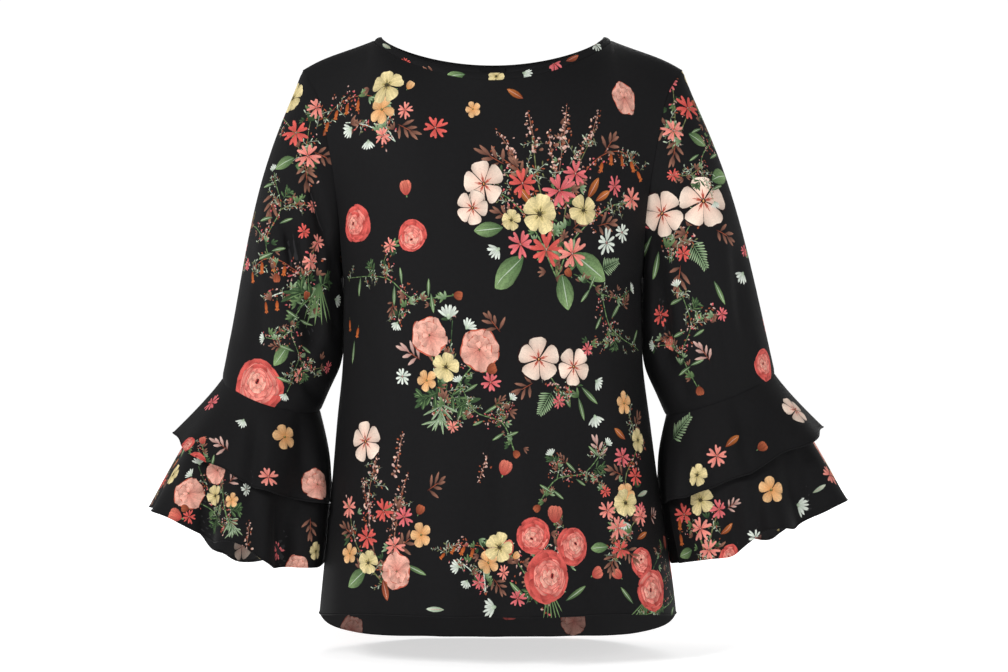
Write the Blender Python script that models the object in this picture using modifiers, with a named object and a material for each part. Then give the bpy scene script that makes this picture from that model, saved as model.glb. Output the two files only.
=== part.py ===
"""Woven blouse, worn shape with no wearer: a hollow body of two panels, a neck binding with
a small label, two elbow sleeves and a pair of circular-cut flounces on each sleeve.

Metres. +Z up, X across the garment, the front faces -Y. The origin lies midway between
the two high shoulder points, where the garment hangs on its wearer. Drops are measured
down from it. Every wall is drawn as its outer face and thickened inwards.
"""
import math

import bpy
import numpy as np

# ---------------------------------------------------------------- walls and gaps
WALL = 0.0013                # cloth, thick enough for a rigid solid
SEAM_GAP = 0.0004            # between two pieces that are sewn together
RIDGE_GAP = 0.0005           # more on each side of the shoulder ridge, whose walls lean together
ARMHOLE_GAP = 0.0014         # the sleeve turns down from the panels, so its wall leans to theirs
NECK_SEAM_GAP = 0.0009       # the binding is thicker than the panels and turns more sharply
TIER_GAP = 0.0012            # between the two flounce tiers
BODY_GAP = 0.0015            # between a sleeve or flounce and the body's side
TUCKED_GAP = 0.0006          # more for the inner tier, which lies behind the outer one
SIDE_BLEND = 0.0030          # how softly cloth turns to follow the body's side
SIDE_STARTS = (0.20, 0.26)   # drops between which cloth begins to be kept off the body

# ---------------------------------------------------------------- neck
NECK_HALF_WIDTH = 0.1165     # at the high shoulder point
NECK_FRONT = {"reach": 0.0860, "drop": 0.0470}
NECK_BACK = {"reach": 0.0580, "drop": 0.0232}
NECK_FALL = (0.35, 0.65)     # mix of a straight and a rounded fall towards the centre
BINDING_WIDTH = 0.0085
BINDING_WALL = 0.0018
BINDING_ROLL = 0.0012        # how far its middle stands up
# per metre of binding width: how far it runs outwards at the shoulder, outwards at the
# centre, down at the shoulder and how much more it runs down at the centre
BINDING_LIE = {"side": 0.92, "centre": 0.45, "fall": 0.42, "centre_fall": 0.48}
LABEL = {"width": 0.026, "height": 0.011, "wall": 0.0010, "below_edge": 0.0020}
LABEL_GAP = 0.0006           # behind the label, whose back is flatter than the neck

# ---------------------------------------------------------------- shoulders and armholes
SHOULDER_TIP = {"half_width": 0.1995, "drop": 0.0350}
SHOULDER_BOW = (0.0007, 0.0022)    # how far the seam bows out and up
SHOULDER_BIAS = 1.8                # above 1 moves the bow towards the tip
UNDERARM_DROP = 0.2550
ARMHOLE_REACH = {"front": 0.0510, "back": 0.0590}

ARMHOLE_COLUMNS = ("drop", "half_width")
ARMHOLE = (
    (0.035, 0.1995),
    (0.050, 0.1890),
    (0.066, 0.1805),
    (0.088, 0.1752),
    (0.108, 0.1710),
    (0.150, 0.1635),
    (0.192, 0.1585),
    (0.255, 0.1560),
)

# ---------------------------------------------------------------- body
HEM_FRONT = 0.5950
HEM_SIDE = 0.6040
HEM_BACK = 0.6460
HEM_EASING = 0.6                   # share of the half width in which the front hem lifts
TAIL_ROUNDING = 2.6                # higher: the tail drops sooner behind the side seam

BODY_COLUMNS = ("drop", "half_width", "middle", "front", "back")
BODY = (
    (0.255, 0.1560, 0.0000, 0.1145, 0.1115),
    (0.300, 0.1563, 0.0001, 0.1175, 0.1100),
    (0.345, 0.1573, 0.0003, 0.1165, 0.1080),
    (0.400, 0.1635, 0.0010, 0.1150, 0.1085),
    (0.460, 0.1700, 0.0024, 0.1175, 0.1130),
    (0.600, 0.1865, 0.0055, 0.1280, 0.1260),
    (0.650, 0.1900, 0.0055, 0.1300, 0.1300),
)
BODY_SQUARENESS = 2.35             # 2 is an ellipse

# soft upright folds that grow down to the hem; across runs from -1, the left seam, to 1
DRAPE_COLUMNS = ("across", "spread", "depth", "start")
DRAPES = {
    "front": (
        (-0.66, 0.10, 0.0040, 0.30),
        (-0.38, 0.12, -0.0035, 0.34),
        (-0.04, 0.07, -0.0050, 0.38),
        (0.12, 0.09, 0.0040, 0.36),
        (0.42, 0.10, -0.0045, 0.33),
        (0.68, 0.10, 0.0035, 0.36),
    ),
    "back": (
        (-0.60, 0.11, -0.0045, 0.30),
        (-0.30, 0.10, 0.0050, 0.24),
        (0.02, 0.09, -0.0055, 0.28),
        (0.30, 0.10, 0.0050, 0.26),
        (0.62, 0.11, -0.0040, 0.32),
    ),
}
DRAPE_LEAN = (1.0, 1.6)            # the folds push more forward than sideways

# the yoke above the underarm: how it arrives at the neck and at the shoulder (backwards,
# up), how stiffly it leaves the underarm and arrives, and how the armhole pulls its edge
YOKE_AT_NECK = (0.40, 0.92)
YOKE_AT_SHOULDER = (0.985, 0.17)
YOKE_STIFFNESS = (0.8, 0.9)
ARMHOLE_PULL = {"from": 0.45, "power": 2.2}
CORNER_SOFTNESS = 0.22             # how widely the corner at the neck point is smoothed below it
CORNER_FADE = 3.0                  # higher: the corner fades sooner down the panel

# ---------------------------------------------------------------- sleeves
# end ring: outer and inner point (half width, drop), half depth, sag in front
SLEEVE_END = {
    "left": {"outer": (0.2840, 0.3590), "inner": (0.1812, 0.3925), "depth": 0.054, "sag": 0.009},
    "right": {"outer": (0.2965, 0.3540), "inner": (0.1822, 0.3975), "depth": 0.054, "sag": 0.004},
}
SLEEVE_FULLNESS = 0.16             # extra depth half way down the sleeve
SLEEVE_HUG = 0.0085                # how far the underarm side leans in against the body
SLEEVE_HUG_BIAS = 1.2              # above 1 moves the lean down the sleeve
# directions the cloth takes (sideways, forward, up)
LEAVE_SHOULDER = (0.33, 0.0, -0.94)
LEAVE_UNDERARM = (0.02, 0.0, -1.00)
LEAVE_FRONT = (0.55, 0.12, 0.30)   # added at the front and the back of the armhole
ARRIVE_OUTER = (0.20, 0.0, -0.98)
ARRIVE_INNER = (0.52, 0.0, -0.85)

# soft creases: start and end (degrees round the sleeve, share of the way down)
CREASE_COLUMNS = ("angle_a", "down_a", "angle_b", "down_b", "width", "depth")
SLEEVE_CREASES = {
    "left": (
        (108, 0.10, 122, 0.62, 0.007, 0.006),
        (82, 0.28, 96, 0.60, 0.006, 0.005),
        (128, 0.45, 112, 0.95, 0.008, 0.005),
        (60, 0.62, 72, 0.97, 0.009, 0.003),
        (236, 0.15, 222, 0.65, 0.008, 0.006),
        (268, 0.30, 252, 0.80, 0.008, 0.004),
        (305, 0.45, 296, 0.95, 0.010, 0.003),
    ),
    "right": (
        (124, 0.15, 136, 0.80, 0.008, 0.006),
        (102, 0.45, 100, 0.97, 0.007, 0.005),
        (80, 0.50, 76, 0.96, 0.007, 0.004),
        (50, 0.60, 54, 0.96, 0.009, 0.003),
        (232, 0.12, 226, 0.70, 0.008, 0.006),
        (262, 0.35, 256, 0.85, 0.008, 0.004),
        (300, 0.40, 292, 0.95, 0.010, 0.003),
    ),
}
CREASE_GIRTH = 0.056               # sleeve radius and length that the creases are drawn on
CREASE_LENGTH = 0.24
CREASE_ENDS = 0.25                 # share of its depth that a crease keeps at its ends
CREASE_LEVEL = 0.3                 # how much of its push may be up or down

# ---------------------------------------------------------------- flounces
# hem ring of the long tier, as SLEEVE_END
FLOUNCE_HEM = {
    "left": {"outer": (0.3620, 0.4940), "inner": (0.1720, 0.5535), "depth": 0.090, "sag": 0.013},
    "right": {"outer": (0.3735, 0.4870), "inner": (0.1770, 0.5515), "depth": 0.090, "sag": 0.006},
}
UPPER_SHARE = {"outer": 0.42, "inner": 0.60}    # of the long tier's length
UPPER_FLARE = 0.007                # how far the short tier's hem kicks out at the outer side
UPPER_FLARE_FROM = 0.1             # cosine of the angle where that begins
FLOUNCE_BELLY = 0.010              # how far a flounce rounds out between seam and hem
OUTER_BELLY = 0.3                  # share of it that the outer side has
WAVE_GROWTH = {"lower": 1.25, "upper": 1.5}

# waves: degrees round the sleeve (0 outer side, 90 front, 180 against the body, 270
# back), spread in degrees, reach at the hem (in is negative)
WAVE_COLUMNS = ("angle", "spread", "reach")
WAVES = {
    ("lower", "left"): (
        (-14, 13, 0.006), (12, 12, -0.006), (38, 13, 0.009), (70, 11, -0.017),
        (96, 14, 0.011), (126, 10, -0.013), (148, 10, 0.007), (212, 13, 0.008),
        (238, 11, -0.013), (264, 13, 0.010), (290, 11, -0.014), (318, 13, 0.009),
    ),
    ("lower", "right"): (
        (-16, 13, 0.007), (8, 11, -0.007), (32, 13, 0.009), (60, 11, -0.015),
        (84, 12, 0.010), (108, 10, -0.017), (134, 13, 0.010), (156, 8, -0.005),
        (214, 13, 0.008), (240, 11, -0.014), (268, 13, 0.010), (296, 11, -0.012),
        (322, 12, 0.008),
    ),
    ("upper", "left"): (
        (4, 20, 0.010), (52, 17, 0.012), (104, 17, 0.011), (142, 12, 0.007),
        (226, 16, 0.010), (272, 17, 0.011), (318, 16, 0.010),
    ),
    ("upper", "right"): (
        (0, 20, 0.010), (46, 18, 0.013), (88, 12, 0.006), (128, 18, 0.011),
        (224, 16, 0.010), (266, 17, 0.012), (314, 16, 0.010),
    ),
}

# ---------------------------------------------------------------- facets and colours
PANEL_FACETS = {"shoulder": 5, "neck": 16, "skirt": 11, "yoke": 9}
# round, then along
SLEEVE_FACETS = (36, 10)
FLOUNCE_FACETS = {"upper": (60, 4), "lower": (60, 5)}
BINDING_FACETS = (56, 2)
LABEL_FACETS = (4, 2)
FINE = 400                         # points on a curve before it is divided evenly
EDGE = 1e-6                        # slack when places across a panel are compared

COLOURS = {
    "cloth": {"base": (0.016, 0.016, 0.018, 1.0), "roughness": 0.78},
    "label": {"base": (0.012, 0.012, 0.013, 1.0), "roughness": 0.55},
}


# ---------------------------------------------------------------- curve helpers
def smooth(x, xs, ys):
    """A smooth curve through a short table, level where the table turns back."""
    x = np.clip(np.asarray(x, float), xs[0], xs[-1])
    xs, ys = np.asarray(xs, float), np.asarray(ys, float)
    step = np.diff(ys) / np.diff(xs)
    slope = np.concatenate(([step[0]], (step[1:] + step[:-1]) / 2, [step[-1]]))
    turns_back = np.concatenate(([False], step[1:] * step[:-1] <= 0, [False]))
    slope[turns_back] = 0.0
    k = np.clip(np.searchsorted(xs, x, side="right") - 1, 0, len(xs) - 2)
    width = xs[k + 1] - xs[k]
    return hermite(ys[k], ys[k + 1], width * slope[k], width * slope[k + 1], (x - xs[k]) / width)


def hermite(start, end, leave, arrive, t):
    """Cubic from start to end with the given end tangents."""
    return ((2 * t**3 - 3 * t**2 + 1) * start + (t**3 - 2 * t**2 + t) * leave
            + (3 * t**2 - 2 * t**3) * end + (t**3 - t**2) * arrive)


def column(rows, names, name):
    return [row[names.index(name)] for row in rows]


def ease(t):
    """0 to 1 with level ends."""
    t = np.clip(t, 0.0, 1.0)
    return t * t * (3 - 2 * t)


def running_length(points):
    steps = np.linalg.norm(np.diff(points, axis=0), axis=1)
    return np.concatenate(([0.0], np.cumsum(steps)))


def divide(points, shares):
    """Points at the given shares of a curve's length."""
    run = running_length(points)
    at = np.asarray(shares) * run[-1]
    return np.stack([np.interp(at, run, points[:, k]) for k in range(3)], axis=1)


def join(*parts):
    return np.stack(np.broadcast_arrays(*parts), axis=-1)


def unit(vector):
    vector = np.asarray(vector, float)
    return vector / np.linalg.norm(vector, axis=-1, keepdims=True)


def round_turns(count):
    """Angles that divide a full turn, without the last one."""
    return 2 * math.pi * np.arange(count) / count


# ---------------------------------------------------------------- the body that cloth follows
def body_size(drop, name):
    return smooth(drop, column(BODY, BODY_COLUMNS, "drop"), column(BODY, BODY_COLUMNS, name))


def body_edge(drop, y):
    """Half width of the body at a drop and a depth y, measured from its middle."""
    reach = np.where(y < 0, body_size(drop, "front"), body_size(drop, "back"))
    share = np.clip(np.abs(y) / reach, 0.0, 0.999)
    return body_size(drop, "half_width") * (1 - share**BODY_SQUARENESS) ** (1 / BODY_SQUARENESS)


def half_section(drops, facing):
    """One panel's section, left seam to right, with a drop for each of its FINE points."""
    angle = np.linspace(0.0, math.pi, FINE)
    power = 2 / BODY_SQUARENESS
    across = np.sign(np.cos(angle)) * np.abs(np.cos(angle)) ** power
    reach = body_size(drops, "front" if facing < 0 else "back")
    x = body_size(drops, "middle") - body_size(drops, "half_width") * across
    y = facing * reach * np.abs(np.sin(angle)) ** power
    return join(x, y, -drops)


def armhole(turn, side):
    """Armhole seam at an angle: 0 at the shoulder tip, pi/2 front, pi underarm."""
    top, bottom = SHOULDER_TIP["drop"], UNDERARM_DROP
    drop = (top + bottom) / 2 - (bottom - top) / 2 * np.cos(turn)
    half = smooth(drop, column(ARMHOLE, ARMHOLE_COLUMNS, "drop"),
                  column(ARMHOLE, ARMHOLE_COLUMNS, "half_width"))
    reach = np.where(np.sin(turn) > 0, ARMHOLE_REACH["front"], ARMHOLE_REACH["back"])
    return join(side * half, -reach * np.sin(turn), -drop)


def neck_edge(turn, out):
    """Neck opening at an angle: 0 at the left shoulder point, pi/2 front, pi at the right.

    out moves the curve outwards over the garment, towards the seam of the binding.
    """
    sine, cosine = np.sin(turn), np.cos(turn)
    centre = np.abs(sine)
    reach = np.where(sine > 0, NECK_FRONT["reach"], NECK_BACK["reach"])
    drop = np.where(sine > 0, NECK_FRONT["drop"], NECK_BACK["drop"])
    x = -(NECK_HALF_WIDTH + out * BINDING_LIE["side"] * np.abs(cosine)) * cosine
    y = -(reach + out * BINDING_LIE["centre"]) * sine
    fall = NECK_FALL[0] * centre + NECK_FALL[1] * centre**2
    z = -drop * fall - out * (BINDING_LIE["fall"] + BINDING_LIE["centre_fall"] * centre)
    return join(x, y, z)


def shoulder_seam(side):
    """From the binding seam to the shoulder tip."""
    inner = neck_edge(0.0, BINDING_WIDTH)
    start = np.array([-side * inner[0], 0.0, inner[2]])
    end = np.array([side * SHOULDER_TIP["half_width"], 0.0, -SHOULDER_TIP["drop"]])
    t = np.linspace(0.0, 1.0, FINE)[:, None]
    bow = np.array([side * SHOULDER_BOW[0], 0.0, SHOULDER_BOW[1]])
    return start + (end - start) * t + bow * np.sin(math.pi * t**SHOULDER_BIAS)


# ---------------------------------------------------------------- panels
def panel_places():
    """Places across a panel, -1 to 1, with one at each end of the neck seam."""
    side, neck = PANEL_FACETS["shoulder"], PANEL_FACETS["neck"]
    corner = neck / (neck + 2 * side)
    left = np.linspace(-1.0, -corner, side + 1)
    middle = np.linspace(-corner, corner, neck + 1)
    return np.concatenate((left, middle[1:], -left[::-1][1:])), corner


def top_edge(places, corner, facing):
    """Shoulder seam, neck seam, shoulder seam."""
    turn = np.linspace(0.0, math.pi, FINE)
    neck = neck_edge(-facing * turn, BINDING_WIDTH + NECK_SEAM_GAP)
    left = divide(shoulder_seam(-1)[::-1], np.clip((places + 1) / (1 - corner), 0, 1))
    right = divide(shoulder_seam(1), np.clip((places - corner) / (1 - corner), 0, 1))
    middle = divide(neck, np.clip((places + corner) / (2 * corner), 0, 1))
    place = places[:, None]
    return np.where(place < -corner - EDGE, left, np.where(place > corner + EDGE, right, middle))


def hem_drop(places, facing):
    """Drop of the hem across a panel: the front lifts a little, the back has a round tail."""
    inward = 1 - np.abs(places)
    if facing < 0:
        return HEM_SIDE - (HEM_SIDE - HEM_FRONT) * ease(inward / HEM_EASING)
    return HEM_SIDE + (HEM_BACK - HEM_SIDE) * (1 - (1 - inward) ** TAIL_ROUNDING)


def drape_push(places, drop, rows):
    """Outward push of the soft upright folds."""
    push = 0.0
    for across, spread, depth, start in rows:
        grow = ease((drop - start) / (HEM_SIDE - start))
        push = push + depth * grow * np.exp(-((places - across) / spread) ** 2)
    return push


def skirt_rows(places, facing):
    """Rows of a panel from the hem up to the underarm."""
    along = np.linspace(-1.0, 1.0, FINE)
    hem = hem_drop(along, facing)
    rows = []
    for share in np.linspace(0.0, 1.0, PANEL_FACETS["skirt"] + 1):
        section = half_section(hem + (UNDERARM_DROP - hem) * share, facing)
        row = divide(section, (places + 1) / 2)
        push = drape_push(places, -row[:, 2], DRAPES["front" if facing < 0 else "back"])
        row[:, :2] += unit(row[:, :2] * DRAPE_LEAN) * push[:, None]
        rows.append(row)
    return rows


def yoke_rows(places, corner, facing, below):
    """Rows of a panel above the underarm, up to the shoulder and neck seams."""
    base, top = below[-1], top_edge(places, corner, facing)
    weight = np.exp(-((places[:, None] - places[None, :]) / CORNER_SOFTNESS) ** 2)
    soft_top = weight @ top / weight.sum(axis=1, keepdims=True)
    span = np.linalg.norm(top - base, axis=1, keepdims=True)
    leave = YOKE_STIFFNESS[0] * span * unit(below[-1] - below[-2])
    outer = ease(np.abs(places) / corner)[:, None]
    back, up = (np.array(YOKE_AT_NECK)[:, None, None] * (1 - outer)
                + np.array(YOKE_AT_SHOULDER)[:, None, None] * outer)
    arrive = YOKE_STIFFNESS[1] * span * unit(np.concatenate((0 * back, -facing * back, up), axis=1))
    upward = np.linspace(math.pi, 0.0, FINE)
    seams = {side: armhole(-facing * upward, side) for side in (-1, 1)}
    start = ARMHOLE_PULL["from"]
    pull = np.clip((np.abs(places) - start) / (1 - start), 0, 1) ** ARMHOLE_PULL["power"]
    rows = []
    for share in np.linspace(0.0, 1.0, PANEL_FACETS["yoke"] + 1)[1:]:
        row = hermite(base, soft_top, leave, arrive, share)
        row = row + (top - soft_top) * share**CORNER_FADE
        for side, end in ((-1, 0), (1, -1)):
            seam = divide(seams[side], [share])[0]
            near = np.where(np.sign(places) == side, pull, 0.0)[:, None]
            row = row + near * (seam - row[end])
        rows.append(row)
    return rows


def panel(facing):
    """Outer face, rows from the hem up, columns from the left seam to the right."""
    places, corner = panel_places()
    rows = skirt_rows(places, facing)
    rows += yoke_rows(places, corner, facing, rows)
    grid = np.array(rows)
    grid[:, :, 1] += facing * SEAM_GAP / 2
    grid[-1, np.abs(places) >= corner - EDGE, 1] += facing * RIDGE_GAP
    return grid


# ---------------------------------------------------------------- sleeves
def keep_clear(points, side, gap):
    """Move points off the body's side, so that cloth lying there follows it."""
    drop = -points[..., 2]
    middle = body_size(drop, "middle")
    out = side * (points[..., 0] - middle)
    short = body_edge(drop, points[..., 1]) + gap - out
    near = ease((drop - SIDE_STARTS[0]) / (SIDE_STARTS[1] - SIDE_STARTS[0]))
    moved = points.copy()
    moved[..., 0] += side * near * SIDE_BLEND * np.logaddexp(0.0, short / SIDE_BLEND)
    return moved


def slanted_ring(size, turn, side):
    """Ring from an outer and an inner point: 0 is the outer side, pi/2 the front."""
    outer = np.array([side * size["outer"][0], 0.0, -size["outer"][1]])
    inner = np.array([side * size["inner"][0], 0.0, -size["inner"][1]])
    sine, cosine = np.sin(turn), np.cos(turn)
    ring = (outer + inner) / 2 + cosine[..., None] * (outer - inner) / 2
    return ring + join(0.0, -size["depth"] * sine, -size["sag"] * sine**2)


def even_turns(curve, count):
    """Angles that divide the front half and the back half of a closed curve evenly."""
    halves = []
    for start in (0.0, math.pi):
        turn = np.linspace(start, start + math.pi, FINE)
        run = running_length(curve(turn))
        halves.append(np.interp(2 * np.arange(count // 2) / count * run[-1], run, turn))
    return np.concatenate(halves)


def crease_push(turn, down, rows):
    """Inward push of soft creases, tapered at both ends."""
    x, y = turn * CREASE_GIRTH, down * CREASE_LENGTH
    push = 0.0
    for angle_a, down_a, angle_b, down_b, width, depth in rows:
        ax, ay = math.radians(angle_a) * CREASE_GIRTH, down_a * CREASE_LENGTH
        bx, by = math.radians(angle_b) * CREASE_GIRTH, down_b * CREASE_LENGTH
        run = math.hypot(bx - ax, by - ay)
        dx, dy = (bx - ax) / run, (by - ay) / run
        along = np.clip(((x - ax) * dx + (y - ay) * dy) / run, 0, 1)
        off = np.hypot(x - ax - along * run * dx, y - ay - along * run * dy)
        taper = CREASE_ENDS + (1 - CREASE_ENDS) * np.sin(math.pi * along)
        push = push + depth * taper * np.exp(-(off / width) ** 2)
    return push


def sleeve(side, name):
    """Outer face, rows from the armhole down, columns round from the outer side."""
    count, steps = SLEEVE_FACETS
    mirror = np.array([side, -1.0, 1.0])
    head_turn = even_turns(lambda turn: armhole(turn, side), count)
    end_turn = even_turns(lambda turn: slanted_ring(SLEEVE_END[name], turn, side), count)
    outer = ((1 + np.cos(head_turn)) / 2)[:, None]
    front = np.sin(head_turn)[:, None]
    leave = (np.array(LEAVE_SHOULDER) * outer + np.array(LEAVE_UNDERARM) * (1 - outer)
             + np.array(LEAVE_FRONT) * np.concatenate((abs(front), front, abs(front)), axis=1))
    leave = unit(leave * mirror)
    arrive = unit((np.array(ARRIVE_OUTER) * outer + np.array(ARRIVE_INNER) * (1 - outer)) * mirror)
    head = armhole(head_turn, side) + ARMHOLE_GAP * leave
    end = slanted_ring(SLEEVE_END[name], end_turn, side)
    span = np.linalg.norm(end - head, axis=1, keepdims=True)
    rows = []
    for share in np.linspace(0.0, 1.0, steps + 1):
        row = hermite(head, end, span * leave, span * arrive, share)
        row[:, 1] *= 1 + SLEEVE_FULLNESS * math.sin(math.pi * share)
        hug = SLEEVE_HUG * math.sin(math.pi * share**SLEEVE_HUG_BIAS)
        row[:, 0] -= side * hug * (1 - outer[:, 0]) ** 2
        inward = unit((row.mean(axis=0) - row) * [1, 1, CREASE_LEVEL])
        turn = head_turn + (end_turn - head_turn) * share
        push = crease_push(turn, share, SLEEVE_CREASES[name]) * math.sin(math.pi * share) ** 0.5
        row = row + inward * push[:, None]
        rows.append(keep_clear(row, side, BODY_GAP if share > 0 else SEAM_GAP))
    return np.array(rows)


# ---------------------------------------------------------------- flounces
def wave_reach(turn, rows):
    """Reach of the hem's waves at an angle."""
    reach = 0.0
    for angle, spread, height in rows:
        off = (turn - math.radians(angle) + math.pi) % (2 * math.pi) - math.pi
        reach = reach + height * np.exp(-(off / math.radians(spread)) ** 2)
    return reach


def flounce(side, name, tier):
    """Outer face, rows from the sleeve seam down, columns round from the outer side.

    Both tiers share one shape. The inner tier is set in by its wall and a gap, and the
    outer one is shorter, with waves and a flare of its own that only reach outwards.
    """
    count, steps = FLOUNCE_FACETS[tier]
    turn = round_turns(count)
    seam = slanted_ring(SLEEVE_END[name], turn, side) - [0.0, 0.0, SEAM_GAP]
    hem = slanted_ring(FLOUNCE_HEM[name], turn, side)
    outward = unit((hem - hem.mean(axis=0)) * [1, 1, 0])
    outer = (1 + np.cos(turn)) / 2
    fullness = 1 - (1 - OUTER_BELLY) * outer**2
    ripple = wave_reach(turn, WAVES["lower", name])
    if tier == "upper":
        length = UPPER_SHARE["inner"] + (UPPER_SHARE["outer"] - UPPER_SHARE["inner"]) * outer
        flare = UPPER_FLARE * ease((np.cos(turn) - UPPER_FLARE_FROM) / (1 - UPPER_FLARE_FROM))
        lift = np.maximum(wave_reach(turn, WAVES["upper", name]), 0.0) + flare
        inset, gap = 0.0, BODY_GAP
    else:
        length, lift = np.ones(count), 0.0
        inset = WALL + TIER_GAP
        gap = BODY_GAP + inset + TUCKED_GAP
    rows = []
    for share in np.linspace(0.0, 1.0, steps + 1):
        down = share * length
        push = FLOUNCE_BELLY * fullness * np.sin(math.pi * down) - inset
        push = push + ripple * down ** WAVE_GROWTH["lower"] + lift * share ** WAVE_GROWTH["upper"]
        row = seam + (hem - seam) * down[:, None] + outward * push[:, None]
        rows.append(keep_clear(row, side, gap))
    return np.array(rows)


# ---------------------------------------------------------------- binding and label
def binding():
    """Outer face, rows from the seam to the neck opening, columns round the neck."""
    count, steps = BINDING_FACETS
    rows = []
    for share in np.linspace(0.0, 1.0, steps + 1):
        row = neck_edge(round_turns(count), BINDING_WIDTH * (1 - share))
        row[:, 2] += BINDING_ROLL * math.sin(math.pi * share)
        rows.append(row)
    return np.array(rows)


def neck_label():
    """Face that lies against the inside of the binding at the back, rows from the top down."""
    columns, steps = LABEL_FACETS
    reach = LABEL["width"] / 2 / NECK_HALF_WIDTH
    turn = -math.pi / 2 + np.linspace(-reach, reach, columns + 1)
    level = BINDING_LIE["fall"] + BINDING_LIE["centre_fall"]
    inward = -unit([0.0, level, BINDING_LIE["centre"]]) * (BINDING_WALL + LABEL_GAP)
    rows = []
    for share in np.linspace(0.0, 1.0, steps + 1):
        rows.append(neck_edge(turn, LABEL["below_edge"] + LABEL["height"] * share) + inward)
    return np.array(rows)


# ---------------------------------------------------------------- objects
def material(name):
    made = bpy.data.materials.new(name)
    made.use_nodes = True
    shader = made.node_tree.nodes["Principled BSDF"]
    shader.inputs["Base Color"].default_value = COLOURS[name]["base"]
    shader.inputs["Roughness"].default_value = COLOURS[name]["roughness"]
    shader.inputs["Metallic"].default_value = 0.0
    return made


def wall(name, grid, thickness, closed, flip, skin, collection):
    """A thin wall from the grid of its outer face; closed joins the last column to the first."""
    rows, columns = grid.shape[:2]
    faces = []
    for r in range(rows - 1):
        for c in range(columns if closed else columns - 1):
            n = (c + 1) % columns
            face = (r * columns + c, r * columns + n, (r + 1) * columns + n, (r + 1) * columns + c)
            faces.append(face[::-1] if flip else face)
    mesh = bpy.data.meshes.new(name)
    mesh.from_pydata(grid.reshape(-1, 3).tolist(), [], faces)
    mesh.shade_smooth()
    mesh.materials.append(skin)
    made = bpy.data.objects.new(name, mesh)
    collection.objects.link(made)
    solid = made.modifiers.new("wall", "SOLIDIFY")
    solid.thickness = thickness
    solid.offset = -1.0


def main():
    for old in list(bpy.data.objects):
        bpy.data.objects.remove(old, do_unlink=True)
    collection = bpy.data.collections.new("blouse")
    bpy.context.scene.collection.children.link(collection)
    cloth, woven = material("cloth"), material("label")

    wall("front", panel(-1), WALL, False, False, cloth, collection)
    wall("back", panel(1), WALL, False, True, cloth, collection)
    wall("neck_binding", binding(), BINDING_WALL, True, False, cloth, collection)
    wall("neck_label", neck_label(), LABEL["wall"], False, True, woven, collection)
    for side, name in ((-1, "left"), (1, "right")):
        flip = side < 0
        wall("sleeve_" + name, sleeve(side, name), WALL, True, flip, cloth, collection)
        for tier in ("upper", "lower"):
            grid = flounce(side, name, tier)
            wall("flounce_" + tier + "_" + name, grid, WALL, True, flip, cloth, collection)


main()
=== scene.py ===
"""Looks of the blouse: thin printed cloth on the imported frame's form, with stage, light and camera.

Metres, +Z up, the front faces -Y, the origin is midway between the high shoulder points.
The cloth follows the same named sizes as the frame's solids, read on a finer grid. Motifs
are drawn by formula as flat shapes in millimetres and cut into the cloth's own mesh.
"""
import math

import bpy
import numpy as np
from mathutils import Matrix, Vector
from mathutils.geometry import delaunay_2d_cdt
from mathutils.kdtree import KDTree

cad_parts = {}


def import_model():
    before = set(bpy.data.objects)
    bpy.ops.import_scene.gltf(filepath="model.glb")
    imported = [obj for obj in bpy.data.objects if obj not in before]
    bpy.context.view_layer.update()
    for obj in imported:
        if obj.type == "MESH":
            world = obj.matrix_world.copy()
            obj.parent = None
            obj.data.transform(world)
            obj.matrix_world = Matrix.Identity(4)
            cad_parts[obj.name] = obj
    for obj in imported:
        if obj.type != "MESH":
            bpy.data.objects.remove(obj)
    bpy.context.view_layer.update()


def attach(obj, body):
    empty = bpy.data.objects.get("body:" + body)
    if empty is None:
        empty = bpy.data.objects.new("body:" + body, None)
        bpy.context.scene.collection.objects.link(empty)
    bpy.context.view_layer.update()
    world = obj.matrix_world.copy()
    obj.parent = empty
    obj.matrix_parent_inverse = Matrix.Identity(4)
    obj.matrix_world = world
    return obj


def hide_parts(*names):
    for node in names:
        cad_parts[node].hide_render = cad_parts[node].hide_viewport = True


def rows_of(text):
    """Rows of a text table, parted by commas. A row with no word has that of the row before."""
    made, word = [], ()
    for row in text.split(","):
        cells = row.split()
        if cells[0][0].isalpha():
            word = (cells.pop(0),)
        made.append(word + tuple(float(cell) for cell in cells))
    return made


def columns(names, text):
    """A text table as one list for each named column."""
    return dict(zip(names.split(), zip(*rows_of(text))))


# ---- walls and gaps
WALL = 0.0013                # cloth of the frame's solids, which the inner tier clears
SEAM_GAP = 0.0001            # between two pieces that are sewn together
RIDGE_GAP = 0.0001           # more on each side of the shoulder ridge
ARMHOLE_GAP = 0.0003         # between a panel and the sleeve head
NECK_SEAM_GAP = 0.0003       # between a panel and the binding
TIER_GAP = 0.0012            # between the two flounce tiers
BODY_GAP = 0.0007            # between a sleeve or flounce and the body's side
TUCKED_GAP = 0.0006          # more for the inner tier, which lies behind the outer one
SIDE_BLEND = 0.0030          # how softly cloth turns to follow the body's side
SIDE_STARTS = (0.20, 0.26)   # drops between which cloth begins to be kept off the body

# ---- neck
NECK_HALF_WIDTH = 0.1165     # at the high shoulder point
NECK_FRONT = {"reach": 0.0860, "drop": 0.0470}
NECK_BACK = {"reach": 0.0580, "drop": 0.0232}
NECK_FALL = (0.35, 0.65)     # mix of a straight and a rounded fall towards the centre
BINDING_WIDTH = 0.0085
BINDING_WALL = 0.0018
BINDING_ROLL = 0.0012        # how far its middle stands up
# per metre of binding width: how far it runs outwards at the shoulder, outwards at the
# centre, down at the shoulder and how much more it runs down at the centre
BINDING_LIE = {"side": 0.92, "centre": 0.45, "fall": 0.42, "centre_fall": 0.48}
LABEL = {"width": 0.026, "height": 0.011, "below_edge": 0.0020}
LABEL_GAP = 0.0006           # behind the label, whose back is flatter than the neck

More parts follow.
